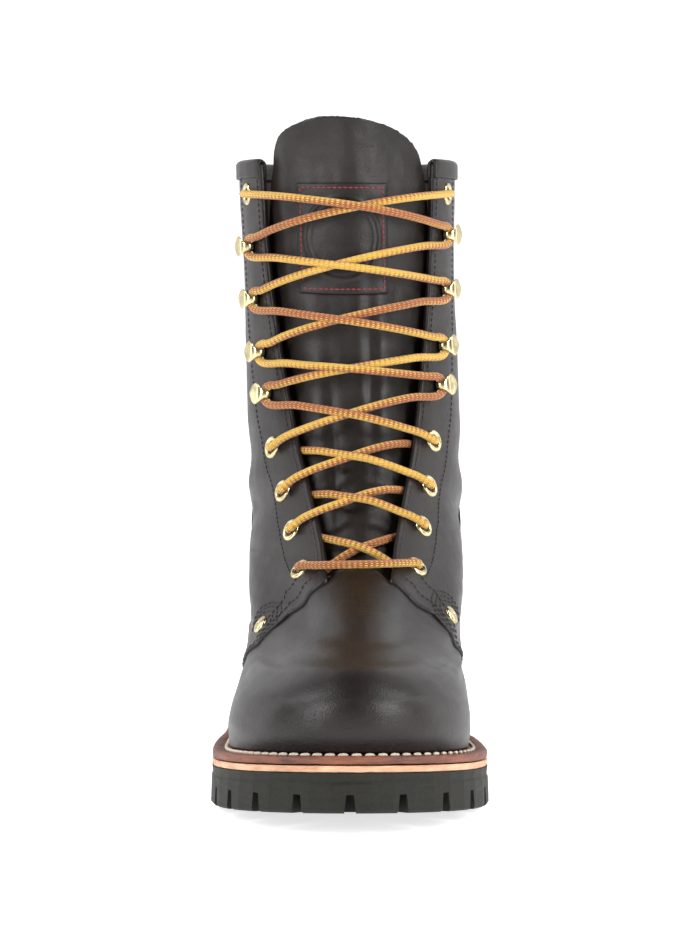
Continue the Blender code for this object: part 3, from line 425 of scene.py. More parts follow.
class Board:
    """A node board for one material, with a Principled shader on it."""

    def __init__(self, name: str) -> None:
        """Starts a material.

        Args:
            name: The material's name.
        """
        self.material = bpy.data.materials.new(name)
        self.material.use_nodes = True
        self.nodes = self.material.node_tree.nodes
        self.links = self.material.node_tree.links
        self.shader = self.nodes["Principled BSDF"]

    def place(self, stretch: Sequence[float] = (1, 1, 1), kind: str = "Object") -> Socket:
        """Returns a coordinate output, stretched along each axis.

        Args:
            stretch: Scale along each axis.
            kind: Name of the coordinate output.

        Returns:
            The output.
        """
        source = self.nodes.new("ShaderNodeTexCoord")
        mapping = self.nodes.new("ShaderNodeMapping")
        mapping.inputs["Scale"].default_value = stretch
        self.links.new(source.outputs[kind], mapping.inputs["Vector"])
        return mapping.outputs["Vector"]

    def noise(self, scale: float, detail: float, place: Socket, rough: float = 0.55) -> Socket:
        """Returns a cloudy noise.

        Args:
            scale: Size of the pattern; larger is finer.
            detail: Number of finer layers.
            place: Coordinate output.
            rough: Weight of the finer layers.

        Returns:
            The output.
        """
        node = self.nodes.new("ShaderNodeTexNoise")
        node.inputs["Scale"].default_value = scale
        node.inputs["Detail"].default_value = detail
        node.inputs["Roughness"].default_value = rough
        self.links.new(place, node.inputs["Vector"])
        return node.outputs["Fac"]

    def cells(self, scale: float, place: Socket) -> Socket:
        """Returns the distance to the edge of the nearest cell of a pebbled grain.

        Args:
            scale: Size of the pattern; larger is finer.
            place: Coordinate output.

        Returns:
            The output.
        """
        node = self.nodes.new("ShaderNodeTexVoronoi")
        node.feature = "DISTANCE_TO_EDGE"
        node.inputs["Scale"].default_value = scale
        self.links.new(place, node.inputs["Vector"])
        return node.outputs["Distance"]

    def sum(self, kind: str, first: Socket | float, second: Socket | float = 0.0, third: float = 0.0) -> Socket:
        """Returns the result of a Math node on outputs or numbers.

        Args:
            kind: Name of the operation.
            first: First value.
            second: Second value.
            third: Third value.

        Returns:
            The output.
        """
        node = self.nodes.new("ShaderNodeMath")
        node.operation = kind
        for socket, value in zip(node.inputs, (first, second, third)):
            if isinstance(value, (int, float)):
                socket.default_value = value
            else:
                self.links.new(value, socket)
        return node.outputs[0]

    def weigh(self, first: Socket, share: float, second: Socket, rest: float) -> Socket:
        """Returns two outputs added up, each times its own share."""
        return self.sum("ADD", self.sum("MULTIPLY", first, share), self.sum("MULTIPLY", second, rest))

    def ramp(self, factor: Socket, stops: Sequence[tuple[float, Colour]]) -> Socket:
        """Returns a colour from a ramp of places and colours.

        Args:
            factor: Where to read it, from 0 to 1.
            stops: Places, each with its colour.

        Returns:
            The output.
        """
        node = self.nodes.new("ShaderNodeValToRGB")
        for _ in range(len(stops) - 2):
            node.color_ramp.elements.new(0.5)
        for element, (place, colour) in zip(node.color_ramp.elements, stops):
            element.position = place
            element.color = (*colour, 1.0)
        self.links.new(factor, node.inputs["Fac"])
        return node.outputs["Color"]

    def mix(self, factor: Socket | float, first: Socket | Colour, second: Socket | Colour,
            kind: str = "MIX") -> Socket:
        """Returns a mix of two colours by a factor.

        Args:
            factor: Where to read it, from 0 to 1.
            first: First value.
            second: Second value.
            kind: Name of the blend.

        Returns:
            The output.
        """
        node = self.nodes.new("ShaderNodeMix")
        node.data_type = "RGBA"
        node.blend_type = kind
        for socket, value in zip((node.inputs[0], node.inputs[6], node.inputs[7]), (factor, first, second)):
            if isinstance(value, (float, int)):
                socket.default_value = value
            elif isinstance(value, tuple):
                socket.default_value = (*value, 1.0)
            else:
                self.links.new(value, socket)
        return node.outputs[2]

    def bump(self, height: Socket, depth: float, strength: float, below: Socket | None = None) -> Socket:
        """Returns a normal from a height, on top of another normal.

        Args:
            height: Output that gives the height.
            depth: Thickness in metres.
            strength: Share of the full effect.
            below: Normal to stand on.

        Returns:
            The output.
        """
        node = self.nodes.new("ShaderNodeBump")
        node.inputs["Distance"].default_value = depth
        node.inputs["Strength"].default_value = strength
        self.links.new(height, node.inputs["Height"])
        if below is not None:
            self.links.new(below, node.inputs["Normal"])
        return node.outputs["Normal"]

    def finish(self, colour: Socket | Colour, rough: Socket | float, normal: Socket | None = None,
               **fixed: float) -> bpy.types.Material:
        """Joins the shader's sockets.

        Args:
            colour: Colour output or tuple.
            rough: Roughness output or number.
            normal: Normal output.
            **fixed: Other sockets, with spaces written as underscores.

        Returns:
            The material.
        """
        for key, value in (("Base Color", colour), ("Roughness", rough), ("Normal", normal)):
            if value is None:
                continue
            if isinstance(value, tuple):
                self.shader.inputs[key].default_value = (*value, 1.0)
            elif isinstance(value, float):
                self.shader.inputs[key].default_value = value
            else:
                self.links.new(value, self.shader.inputs[key])
        for key, value in fixed.items():
            self.shader.inputs[key.replace("_", " ")].default_value = value
        return self.material


@dataclass(frozen=True)
class Leather:
    """Oiled leather with a fine pebbled grain, pulled lines and rubbed places."""

    name: str
    deep: Colour
    rubbed: Colour
    gloss: float
    grain: float = 950.0
    relief: float = 0.34
    rub: float = 1.0

    def make(self) -> bpy.types.Material:
        """Returns the material."""
        board = Board(self.name)
        place = board.place()
        clouds = board.noise(22.0, 5.0, place)
        pulled = board.noise(60.0, 6.0, board.place((1.0, 0.35, 3.2)), 0.62)
        scuffs = board.noise(150.0, 8.0, board.place((2.4, 1.0, 0.55)), 0.7)
        wear = board.ramp(scuffs, ((0.60, (0, 0, 0)), (0.76, (self.rub,) * 3)))
        base = board.ramp(clouds, ((0.32, self.deep), (0.72, self.rubbed)))
        lighter = tuple(min(1.0, c * 2.1 + 0.008) for c in self.rubbed)
        colour = board.mix(board.sum("MULTIPLY", wear, 0.45), base, lighter)
        rough = board.weigh(pulled, 0.22, wear, 0.16)
        rough = board.sum("ADD", rough, self.gloss - 0.11)
        normal = board.bump(board.cells(self.grain, place), 0.0004, self.relief)
        normal = board.bump(board.noise(420.0, 3.0, place), 0.0004, 0.24, normal)
        normal = board.bump(pulled, 0.0012, 0.22, normal)
        return board.finish(colour, rough, normal, Specular_IOR_Level=0.32, Coat_Weight=0.03, Coat_Roughness=0.3)


@dataclass(frozen=True)
class CutEdge:
    """Leather on its cut or waxed edge: streaks along the edge, light and dark."""

    name: str
    dark: Colour
    light: Colour
    rough: float = 0.6

    def make(self) -> bpy.types.Material:
        """Returns the material."""
        board = Board(self.name)
        streaks = board.noise(260.0, 7.0, board.place((0.5, 0.5, 3.0)), 0.68)
        blotches = board.noise(45.0, 4.0, board.place())
        colour = board.ramp(board.weigh(streaks, 0.6, blotches, 0.4), ((0.34, self.dark), (0.66, self.light)))
        normal = board.bump(streaks, 0.0008, 0.5)
        normal = board.bump(board.noise(900.0, 3.0, board.place()), 0.0004, 0.35, normal)
        return board.finish(colour, self.rough, normal)


@dataclass(frozen=True)
class Rubber:
    """Moulded rubber, dusty, with fine flow lines."""

    name: str
    dark: Colour
    dusty: Colour

    def make(self) -> bpy.types.Material:
        """Returns the material."""
        board = Board(self.name)
        specks = board.noise(700.0, 4.0, board.place(), 0.7)
        flow = board.noise(90.0, 6.0, board.place((0.6, 0.6, 5.0)), 0.62)
        colour = board.ramp(board.weigh(specks, 0.45, flow, 0.55), ((0.36, self.dark), (0.68, self.dusty)))
        rough = board.sum("ADD", board.sum("MULTIPLY", flow, 0.3), 0.5)
        normal = board.bump(specks, 0.0004, 0.4)
        normal = board.bump(flow, 0.001, 0.25, normal)
        return board.finish(colour, rough, normal, Specular_IOR_Level=0.28)


@dataclass(frozen=True)
class Brass:
    """Plated brass with faint tool marks."""

    name: str
    colour: Colour

    def make(self) -> bpy.types.Material:
        """Returns the material."""
        board = Board(self.name)
        marks = board.noise(900.0, 5.0, board.place())
        tarnish = board.noise(240.0, 4.0, board.place())
        darker = tuple(c * 0.62 for c in self.colour)
        colour = board.ramp(tarnish, ((0.30, darker), (0.58, self.colour)))
        rough = board.sum("ADD", board.sum("MULTIPLY", marks, 0.22), 0.14)
        return board.finish(colour, rough, board.bump(marks, 0.0002, 0.15), Metallic=1.0)


@dataclass(frozen=True)
class Thread:
    """Sewing thread, fuzzy and uneven in tone."""

    name: str
    colour: Colour
    rough: float = 0.62

    def make(self) -> bpy.types.Material:
        """Returns the material."""
        board = Board(self.name)
        fuzz = board.noise(2600.0, 3.0, board.place())
        darker = tuple(c * 0.55 for c in self.colour)
        colour = board.ramp(fuzz, ((0.30, darker), (0.62, self.colour)))
        return board.finish(colour, self.rough, board.bump(fuzz, 0.0003, 0.6))


@dataclass(frozen=True)
class Braid:
    """Round braided cord in two colours, with painted shade in the grooves between strands; U runs round it and V
    along it in metres.
    """

    name: str
    gold: Colour
    rust: Colour
    strands: float = 12.0
    pitch: float = 0.0044

    def make(self) -> bpy.types.Material:
        """Returns the material."""
        board = Board(self.name)
        split = board.nodes.new("ShaderNodeSeparateXYZ")
        board.links.new(board.place(kind="UV"), split.inputs[0])
        round_it = board.sum("MULTIPLY", split.outputs[0], TURN * self.strands / 2)
        along = board.sum("MULTIPLY", split.outputs[1], TURN / self.pitch)
        left = board.sum("SINE", board.sum("ADD", round_it, along))
        right = board.sum("SINE", board.sum("SUBTRACT", round_it, along))
        weave = board.sum("MULTIPLY", left, right)
        twist = board.sum("MULTIPLY", split.outputs[1], 34.0)
        half = board.sum("SINE", board.sum("ADD", board.sum("MULTIPLY", split.outputs[0], TURN), twist))
        tone = board.weigh(half, 0.62, weave, 0.75)
        factor = board.sum("MULTIPLY_ADD", tone, 0.5, 0.5)
        colour = board.ramp(factor, ((0.36, self.rust), (0.60, self.gold)))
        depth = board.sum("ABSOLUTE", weave)
        # Painted shade: the colour is darkened towards 0.3 in the grooves between strands, where the weave is near
        # zero.
        painted_groove_shade = board.ramp(depth, ((0.0, (0.30, 0.30, 0.30)), (0.35, (1.0, 1.0, 1.0))))
        shaded = board.mix(1.0, colour, painted_groove_shade, "MULTIPLY")
        return board.finish(shaded, 0.5, board.bump(depth, 0.0006, 0.8), Sheen_Weight=0.2)


@dataclass(frozen=True)
class Plain:
    """A plain matt surface with a glow of its own, so that it stays pale."""

    name: str
    colour: Colour
    glow: float = 0.7

    def make(self) -> bpy.types.Material:
        """Returns the material."""
        board = Board(self.name)
        board.shader.inputs["Emission Color"].default_value = (1.0, 1.0, 1.0, 1.0)
        return board.finish(self.colour, 0.85, Emission_Strength=self.glow)


OILED = Leather("oiled leather", (0.0062, 0.0042, 0.0038), (0.0140, 0.0098, 0.0094), 0.40)
TONGUE_LEATHER = Leather("tongue leather", (0.0062, 0.0046, 0.0038), (0.0150, 0.0110, 0.0092), 0.48, 620.0, 0.22)
LINING = Leather("lining leather", (0.013, 0.009, 0.007), (0.028, 0.020, 0.016), 0.62, 700.0, 0.10)
BINDING = Leather("binding leather", (0.0070, 0.0050, 0.0048), (0.0170, 0.0125, 0.0120), 0.44, 800.0, 0.2)
FOOTBED = Leather("footbed leather", (0.045, 0.028, 0.018), (0.090, 0.058, 0.036), 0.66, 500.0, 0.12)
WELT = CutEdge("welt leather", (0.060, 0.016, 0.009), (0.240, 0.078, 0.038))
MIDSOLE = CutEdge("midsole leather", (0.380, 0.180, 0.100), (0.740, 0.460, 0.290), 0.68)
SOLE_RUBBER = Rubber("sole rubber", (0.0048, 0.0050, 0.0034), (0.0170, 0.0160, 0.0105))
PLATED = Brass("plated brass", (0.68, 0.58, 0.33))
BLACK_THREAD = Thread("black thread", (0.020, 0.018, 0.018))
WHITE_THREAD = Thread("waxed white thread", (0.72, 0.62, 0.50), 0.5)
RED_THREAD = Thread("red thread", (0.260, 0.020, 0.028))
LACE = Braid("braided lace", (0.92, 0.55, 0.065), (0.42, 0.095, 0.014))
FLOOR = Plain("pale floor", (0.86, 0.86, 0.87))


@lru_cache(maxsize=None)
def paint(finish: Finish) -> bpy.types.Material:
    """Returns the one material of a finish."""
    return finish.make()


# Mesh helpers

def linked(name: str, data: bpy.types.ID) -> bpy.types.Object:
    """Returns a new object of the scene that shows some data.

    Args:
        name: The name.
        data: Mesh, light or camera data.

    Returns:
        The object.
    """
    thing = bpy.data.objects.new(name, data)
    bpy.context.scene.collection.objects.link(thing)
    return thing


def meshed(form: bmesh.types.BMesh, name: str, finish: Finish) -> bpy.types.Object:
    """Turns a bmesh into a smooth object.

    Args:
        form: The mesh; it is freed.
        name: The object's name.
        finish: Its finish.

    Returns:
        The object, at the origin.
    """
    mesh = bpy.data.meshes.new(name)
    form.to_mesh(mesh)
    form.free()
    mesh.shade_smooth()
    mesh.materials.append(paint(finish))
    return linked(name, mesh)


def keep(form: bmesh.types.BMesh, name: str, finish: Finish, crease: float = 40.0) -> bpy.types.Object:
    """Turns a bmesh into a riding piece.

    Args:
        form: The mesh; it is freed.
        name: The piece's name.
        finish: Its finish.
        crease: Angle in degrees past which an edge stays sharp.

    Returns:
        The object, at the origin.
    """
    piece = meshed(form, name, finish)
    piece.data.set_sharp_from_angle(angle=math.radians(crease))
    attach(piece, "root")
    LOG.info("%s: %d faces", name, len(piece.data.polygons))
    return piece


def cloth_grid(columns: int, lines: int, place: Placer, weld: bool = False) -> bmesh.types.BMesh:
    """Maps a flat grid through a function of shares across and up, and keeps them as UVs.

    Args:
        columns: Cells across.
        lines: Cells up.
        place: The point at a pair of shares.
        weld: Whether edges that meet are joined.

    Returns:
        The mesh.
    """
    form = bmesh.new()
    form.loops.layers.uv.new("UVMap")
    bmesh.ops.create_grid(form, x_segments=columns, y_segments=lines, size=0.5, calc_uvs=True)
    for vert in form.verts:
        vert.co = place(vert.co.x + 0.5, vert.co.y + 0.5)
    if weld:
        bmesh.ops.remove_doubles(form, verts=form.verts, dist=0.000002)
        bmesh.ops.recalc_face_normals(form, faces=form.faces)
    return form


def thicken(piece: bpy.types.Object, depth: float, inner: Finish | None = None) -> None:
    """Gives a sheet its thickness on the inside, with another finish there.

    Args:
        piece: The sheet.
        depth: Thickness in metres.
        inner: Finish of the inside.
    """
    wall = piece.modifiers.new("wall", "SOLIDIFY")
    wall.thickness = depth
    wall.offset = -1.0
    wall.use_even_offset = False
    if inner is not None:
        piece.data.materials.append(paint(inner))
        wall.material_offset = 1
    wall.use_quality_normals = True


def swept(name: str, centres: Sequence[Vector], radius: float, sides: int, finish: Finish) -> bpy.types.Object:
    """Makes a round cord along a line of points, closed at both ends.

    Args:
        name: The piece's name.
        centres: Points along the cord.
        radius: Its radius.
        sides: Faces round it.
        finish: Its finish.

    Returns:
        The object.
    """
    frames = []
    across = Vector((0, 0, 1))
    run = 0.0
    for i, centre in enumerate(centres):
        ahead = (centres[min(i + 1, len(centres) - 1)] - centres[max(i - 1, 0)]).normalized()
        across = (across - ahead * across.dot(ahead)).normalized()
        run += (centre - centres[max(i - 1, 0)]).length
        frames.append((centre, across.copy(), ahead.cross(across), run))
    last = len(frames) - 1

    def place(u: float, v: float) -> Vector:
        """Returns the point at shares round and along.

        Args:
            u: Share across or round.
            v: Share along.

        Returns:
            The point.
        """
        centre, side, over, _ = frames[round(v * last)]
        wide = radius * (0.02 if v in (0.0, 1.0) else 1.0)
        turn = TURN * u
        return centre + (side * math.cos(turn) + over * math.sin(turn)) * wide

    form = bmesh.new()
    layer = form.loops.layers.uv.new("UVMap")
    bmesh.ops.create_grid(form, x_segments=sides, y_segments=last, size=0.5)
    for face in form.faces:
        for loop in face.loops:
            share = loop.vert.co.y + 0.5
            loop[layer].uv = (loop.vert.co.x + 0.5, frames[round(share * last)][3])
    for vert in form.verts:
        share = round((vert.co.y + 0.5) * last) / last
        vert.co = place(vert.co.x + 0.5, share)
    bmesh.ops.remove_doubles(form, verts=form.verts, dist=0.000001)
    bmesh.ops.holes_fill(form, edges=[e for e in form.edges if e.is_boundary], sides=0)
    bmesh.ops.recalc_face_normals(form, faces=form.faces)
    return keep(form, name, finish, 60.0)


def spline(points: Sequence[Vector], step: float) -> list[Vector]:
    """Returns evenly spaced points on a smooth curve through points.

    Args:
        points: Points to pass through.
        step: Distance between the new points.

    Returns:
        The points.
    """
    dense: list[Vector] = []
    ends = [points[0] * 2 - points[1], *points, points[-1] * 2 - points[-2]]
    for a, b, c, d in zip(ends, ends[1:], ends[2:], ends[3:]):
        count = max(4, int((c - b).length / step * 3))
        ab, bc, cd = (max(0.0005, (q - p).length ** 0.5) for p, q in ((a, b), (b, c), (c, d)))
        start = ((b - a) / ab - (c - a) / (ab + bc) + (c - b) / bc) * bc
        end = ((c - b) / bc - (d - b) / (bc + cd) + (d - c) / cd) * bc
        for i in range(count):
            t = i / count
            dense.append(b * (2 * t**3 - 3 * t**2 + 1) + start * (t**3 - 2 * t**2 + t)
                         + c * (3 * t**2 - 2 * t**3) + end * (t**3 - t**2))
    dense.append(points[-1].copy())
    even = [dense[0]]
    passed = 0.0
    for before, after in zip(dense, dense[1:]):
        passed += (after - before).length
        if passed >= step:
            even.append(after)
            passed = 0.0
    return even


@dataclass(frozen=True)
class Seam:
    """A row of stitches of one size."""

    pitch: float = 0.0026
    length: float = 0.0021
    thick: float = 0.0007
    lift: float = 0.00005

    def sew(self, form: bmesh.types.BMesh, line: Sequence[tuple[Vector, Vector]], lean: float = 0.0) -> None:
        """Adds stitches along a line.

        Args:
            form: The mesh that takes them.
            line: Points with the direction out of the leather at each.
            lean: Turn of each stitch off the line, in radians.
        """
        passed = self.pitch / 2
        for (start, _), (end, out) in zip(line, line[1:]):
            ahead = end - start
            reach = ahead.length
            if reach < 1e-7:
                continue
            ahead /= reach
            while passed <= reach:
                spot = start + ahead * passed + out * self.lift
                side = out.cross(ahead).normalized()
                along = (ahead * math.cos(lean) + side * math.sin(lean)).normalized()
                across = out.cross(along).normalized()
                matrix = seated(along * self.length / 2, across * self.thick / 2, out * self.thick / 2, spot)
                bmesh.ops.create_uvsphere(form, u_segments=6, v_segments=4, radius=1.0, matrix=matrix)
                passed += self.pitch
            passed -= reach


def on_leather(spots: Sequence[Spot], out: float, fine: int = 6) -> list[tuple[Vector, Vector]]:
    """Returns points and outward directions over the upper through spots of angle and row.

    Args:
        spots: Angles and rows.
        out: Height over the leather.
        fine: Points between two spots.

    Returns:
        Each point with its direction.
    """
    line = []
    for (angle, row), (angle_to, row_to) in zip(spots, spots[1:]):
        for i in range(fine):
            turn = blend(angle, angle_to, i / fine)
            level = blend(row, row_to, i / fine)
            line.append((LAST.shell(turn, level, out + relief(turn, level)), LAST.skin(turn, level)[2]))
    return line


# Folds in the leather. Columns: angle round the ring and row of the middle, half length in degrees,
# half width in rows, tilt in rows for each degree, and height in metres, below zero for a trough.
VAMP_FOLDS = (
    (-10.0, 4.62, 38.0, 0.22, 0.000, -0.0009),
    (22.0, 4.50, 34.0, 0.20, 0.002, -0.0008),
    (0.0, 5.02, 40.0, 0.20, 0.001, 0.0005),
    (-52.0, 3.55, 26.0, 0.34, -0.018, -0.0010),
    (54.0, 3.50, 26.0, 0.34, 0.018, -0.0010),
    (-66.0, 2.75, 16.0, 0.25, -0.020, -0.0007),
    (68.0, 2.70, 16.0, 0.25, 0.020, -0.0007),
    (0.0, 3.25, 60.0, 0.55, 0.000, 0.0010),
)
SHAFT_FOLDS = (
    (-74.0, 6.90, 26.0, 0.30, 0.010, -0.0016),
    (-96.0, 7.50, 30.0, 0.26, 0.006, -0.0014),
    (-84.0, 7.20, 26.0, 0.22, 0.008, 0.0009),
    (80.0, 6.85, 26.0, 0.30, -0.010, -0.0016),
    (98.0, 7.45, 30.0, 0.26, -0.006, -0.0013),
    (88.0, 7.15, 26.0, 0.22, -0.008, 0.0009),
    (-130.0, 8.05, 34.0, 0.25, 0.003, -0.0012),
    (132.0, 8.00, 34.0, 0.25, -0.003, -0.0012),
    (-110.0, 8.90, 30.0, 0.45, 0.004, -0.0008),
    (115.0, 9.05, 30.0, 0.45, -0.004, -0.0008),
)


def relief(angle: float, row: float) -> float:
    """Returns how far the worn leather stands off the last's surface at a place.

    Args:
        angle: Turn round the ring; 0 is the front.
        row: Row of the ring table.

    Returns:
        The height in metres.
    """
    degrees = math.degrees(angle)
    if degrees > 180:
        degrees -= 360
    height = 0.0
    for middle, level, reach, width, tilt, depth in VAMP_FOLDS + SHAFT_FOLDS:
        off = degrees - middle
        if abs(off) < 2.4 * reach:
            bend = row - level - tilt * off
            if abs(bend) < 2.6 * width:
                height += depth * hump(off, 0.0, reach) * hump(bend, 0.0, width)
    spot = LAST.point(angle, row)
    calm = 0.00022 * noise.noise(spot * 55.0) + 0.00012 * noise.noise(spot * 160.0)
    return height + calm * ease(0.0, 0.8, row)


# Sub-assemblies

@dataclass
class Upper:
    """Vamp, quarters, counter and collar binding."""

    wall: float = 0.0020
    step: float = 0.0010
    round_edge: float = 0.00035
    counter_thickness: float = 0.0014
    counter_height: float = 0.062
    counter_shoulder: float = 0.84
    counter_front: float = 0.735
    counter_lean: float = 0.020
    binding_thickness: float = 0.0012
    binding_drop: float = 0.0058
    counter_stand: float = 0.0004
    facing_seams: tuple[tuple[float, float, float], ...] = ((0.0028, 5.95, 9.9), (0.0262, 5.66, 9.9))
    edge_seams: tuple[float, ...] = (0.19, 0.40)
    counter_seams: tuple[float, ...] = (0.05, 0.10)
    collar_seam: float = 0.28
    seam: Seam = field(default_factory=Seam)

    def vamp_place(self, u: float, v: float) -> Vector:
        """Returns a point of the vamp at shares round and up.

        Args:
            u: Share across or round.
            v: Share up.

        Returns:
            The point.
        """
        angle = blend(-math.pi, math.pi, u)
        top = LAST.edge(angle) + 0.06 * ease(21.7, 26.0, math.degrees(abs(angle)))
        row = top * v
        out = relief(angle, row) - (self.round_edge if v == 1.0 else 0.0)
        return LAST.shell(angle, row, out)

    def quarter_spot(self, u: float, v: float) -> Spot:
        """Returns the angle and row of the quarters at shares round and up.

        Args:
            u: Share across or round.
            v: Share up.

        Returns:
            The angle and row.
        """
        start = LAST.throat(float(THROAT))
        edge = LAST.edge(min(blend(start, TURN - start, u), TURN - blend(start, TURN - start, u)))
        row = blend(edge, COLLAR, v)
        first = LAST.throat(round(row, 3))
        angle = blend(first, TURN - first, u)
        return wrapped(angle), row

    def quarter_place(self, u: float, v: float) -> Vector:
        """Returns a point of the quarters at shares round and up.

        Args:
            u: Share across or round.
            v: Share up.

        Returns:
            The point.
        """
        angle, row = self.quarter_spot(u, v)
        out = self.step + relief(angle, row)
        if v == 0.0 or u in (0.0, 1.0):
            out -= self.round_edge
        return LAST.shell(angle, row, out)

    def counter_spot(self, u: float, v: float) -> Spot:
        """Returns the angle and row of the counter at shares round and up.

        Args:
            u: Share across or round.
            v: Share up.

        Returns:
            The angle and row.
        """
        foot = 0.12
        row = foot
        for _ in range(4):
            front, back = LAST.ring(round(row, 3))[:2]
            y = (self.counter_front - 0.5) * SOLE.length + self.counter_lean * v
            start = math.acos(1 - 2 * (y - front) / (back - front))
            angle = blend(start, TURN - start, u)
            rounding = 1 - (2 * u - 1) ** 2
            floor = SOLE.welt_top(SOLE.along_of(LAST.point(angle, 0.0).y))
            height = floor + self.counter_height * blend(self.counter_shoulder, 1.0, rounding)
            row = blend(foot, LAST.row_at(angle, height, 0.0, COLLAR), v)
        return wrapped(angle), row

    def counter_place(self, u: float, v: float) -> Vector:
        """Returns a point of the counter at shares round and up.

        Args:
            u: Share across or round.
            v: Share up.

        Returns:
            The point.
        """
        angle, row = self.counter_spot(u, v)
        out = self.step + self.counter_thickness + self.counter_stand
        if u in (0.0, 1.0) or v in (0.0, 1.0):
            out -= self.round_edge
        return LAST.shell(angle, row, out)

    def binding_place(self, u: float, v: float) -> Vector:
        """Returns a point of the binding at shares round the collar and round its section.

        Args:
            u: Share across or round.
            v: Share round the section.

        Returns:
            The point.
        """
        thick = self.binding_thickness
        outer = self.step + thick
        inner = -self.wall - thick
        first = LAST.throat(float(COLLAR))
        angle = wrapped(blend(first, TURN - first, u))
        point, around, outward = LAST.skin(angle, float(COLLAR))
        upward = outward.cross(around)
        middle = (outer + inner) / 2
        half = (outer - inner) / 2
        if v <= 0.25 or v >= 0.75:
            down = v / 0.25 if v <= 0.25 else (1 - v) / 0.25
            out, up = middle + half * (1 if v <= 0.25 else -1), blend(-self.binding_drop, 0.0, down)
        else:
            turn = math.pi * (v - 0.25) / 0.5
            out, up = middle + half * math.cos(turn), 1.9 * thick * math.sin(turn)
        bulge = 0.0002 * noise.noise(point * 130.0)
        ends = 0.0006 * (hump(u, 0.0, 0.006) + hump(u, 1.0, 0.006))
        return point + outward * (out + bulge - ends * (1 if v <= 0.5 else -1)) + upward * (up - ends)

    def seams(self) -> None:
        """Sews the facings, the quarter's edge, the counter and the collar."""
        form = bmesh.new()
        out = self.step
        for side in Side:
            sign = side.value
            for near, low, high in self.facing_seams:
                rows = [blend(low, high, i / 40) for i in range(41)]
                spots = [(sign * LAST.from_edge(round(row, 3), near * (1 - 0.10 * ease(7, 10, row))), row)
                         for row in rows]
                self.seam.sew(form, on_leather(spots, out, 3))
            for rise in self.edge_seams:
                spots = [(sign * math.radians(a), LAST.edge(math.radians(a)) + rise * (1 - 0.35 * ease(60, 80, a)))
                         for a in range(23, 175, 3)]
                self.seam.sew(form, on_leather(spots, out, 4))
        spots = [(a, COLLAR - self.collar_seam) for a in self.round_collar(90)]
        self.seam.sew(form, on_leather(spots, out, 2))
        keep(form, "seam_upper", BLACK_THREAD)
        form = bmesh.new()
        for inset in self.counter_seams:
            line = []
            for u, v in self.counter_border(inset):
                angle, row = self.counter_spot(u, v)
                face = out + self.counter_thickness + self.counter_stand
                line.append((LAST.shell(angle, row, face), LAST.skin(angle, row)[2]))
            self.seam.sew(form, line)
        keep(form, "seam_counter", BLACK_THREAD)

    @staticmethod
    def round_collar(count: int) -> list[float]:
        """Returns angles round the back from one facing to the other."""
        first = LAST.throat(float(COLLAR)) + 0.03
        return [blend(first, TURN - first, i / count) for i in range(count + 1)]

    @staticmethod
    def counter_border(inset: float) -> list[Spot]:
        """Returns the shares along the counter's front edges and top, a little inside them.

        Args:
            inset: How far inside them.

        Returns:
            The shares.
        """
        up = [(inset * 0.45, v / 12) for v in range(1, 12)]
        over = [(blend(inset * 0.45, 1 - inset * 0.45, i / 60), 1 - inset) for i in range(61)]
        down = [(1 - inset * 0.45, 1 - v / 12) for v in range(1, 12)]
        return up + over + down

    def build(self) -> None:
        """Makes the upper's pieces."""
        vamp = keep(cloth_grid(220, 76, self.vamp_place, True), "vamp", OILED)
        thicken(vamp, self.wall, LINING)
        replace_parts(vamp, "upper")
        quarters = keep(cloth_grid(220, 130, self.quarter_place), "quarters", OILED)
        thicken(quarters, self.wall + self.step, LINING)
        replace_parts(quarters, "upper")
        counter = keep(cloth_grid(96, 40, self.counter_place), "counter", OILED)
        thicken(counter, self.counter_thickness)
        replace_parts(counter, "heel_counter")
        roll = keep(cloth_grid(220, 32, self.binding_place), "collar_roll", BINDING)
        thicken(roll, self.binding_thickness)
        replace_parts(roll, "collar_binding")
        self.seams()


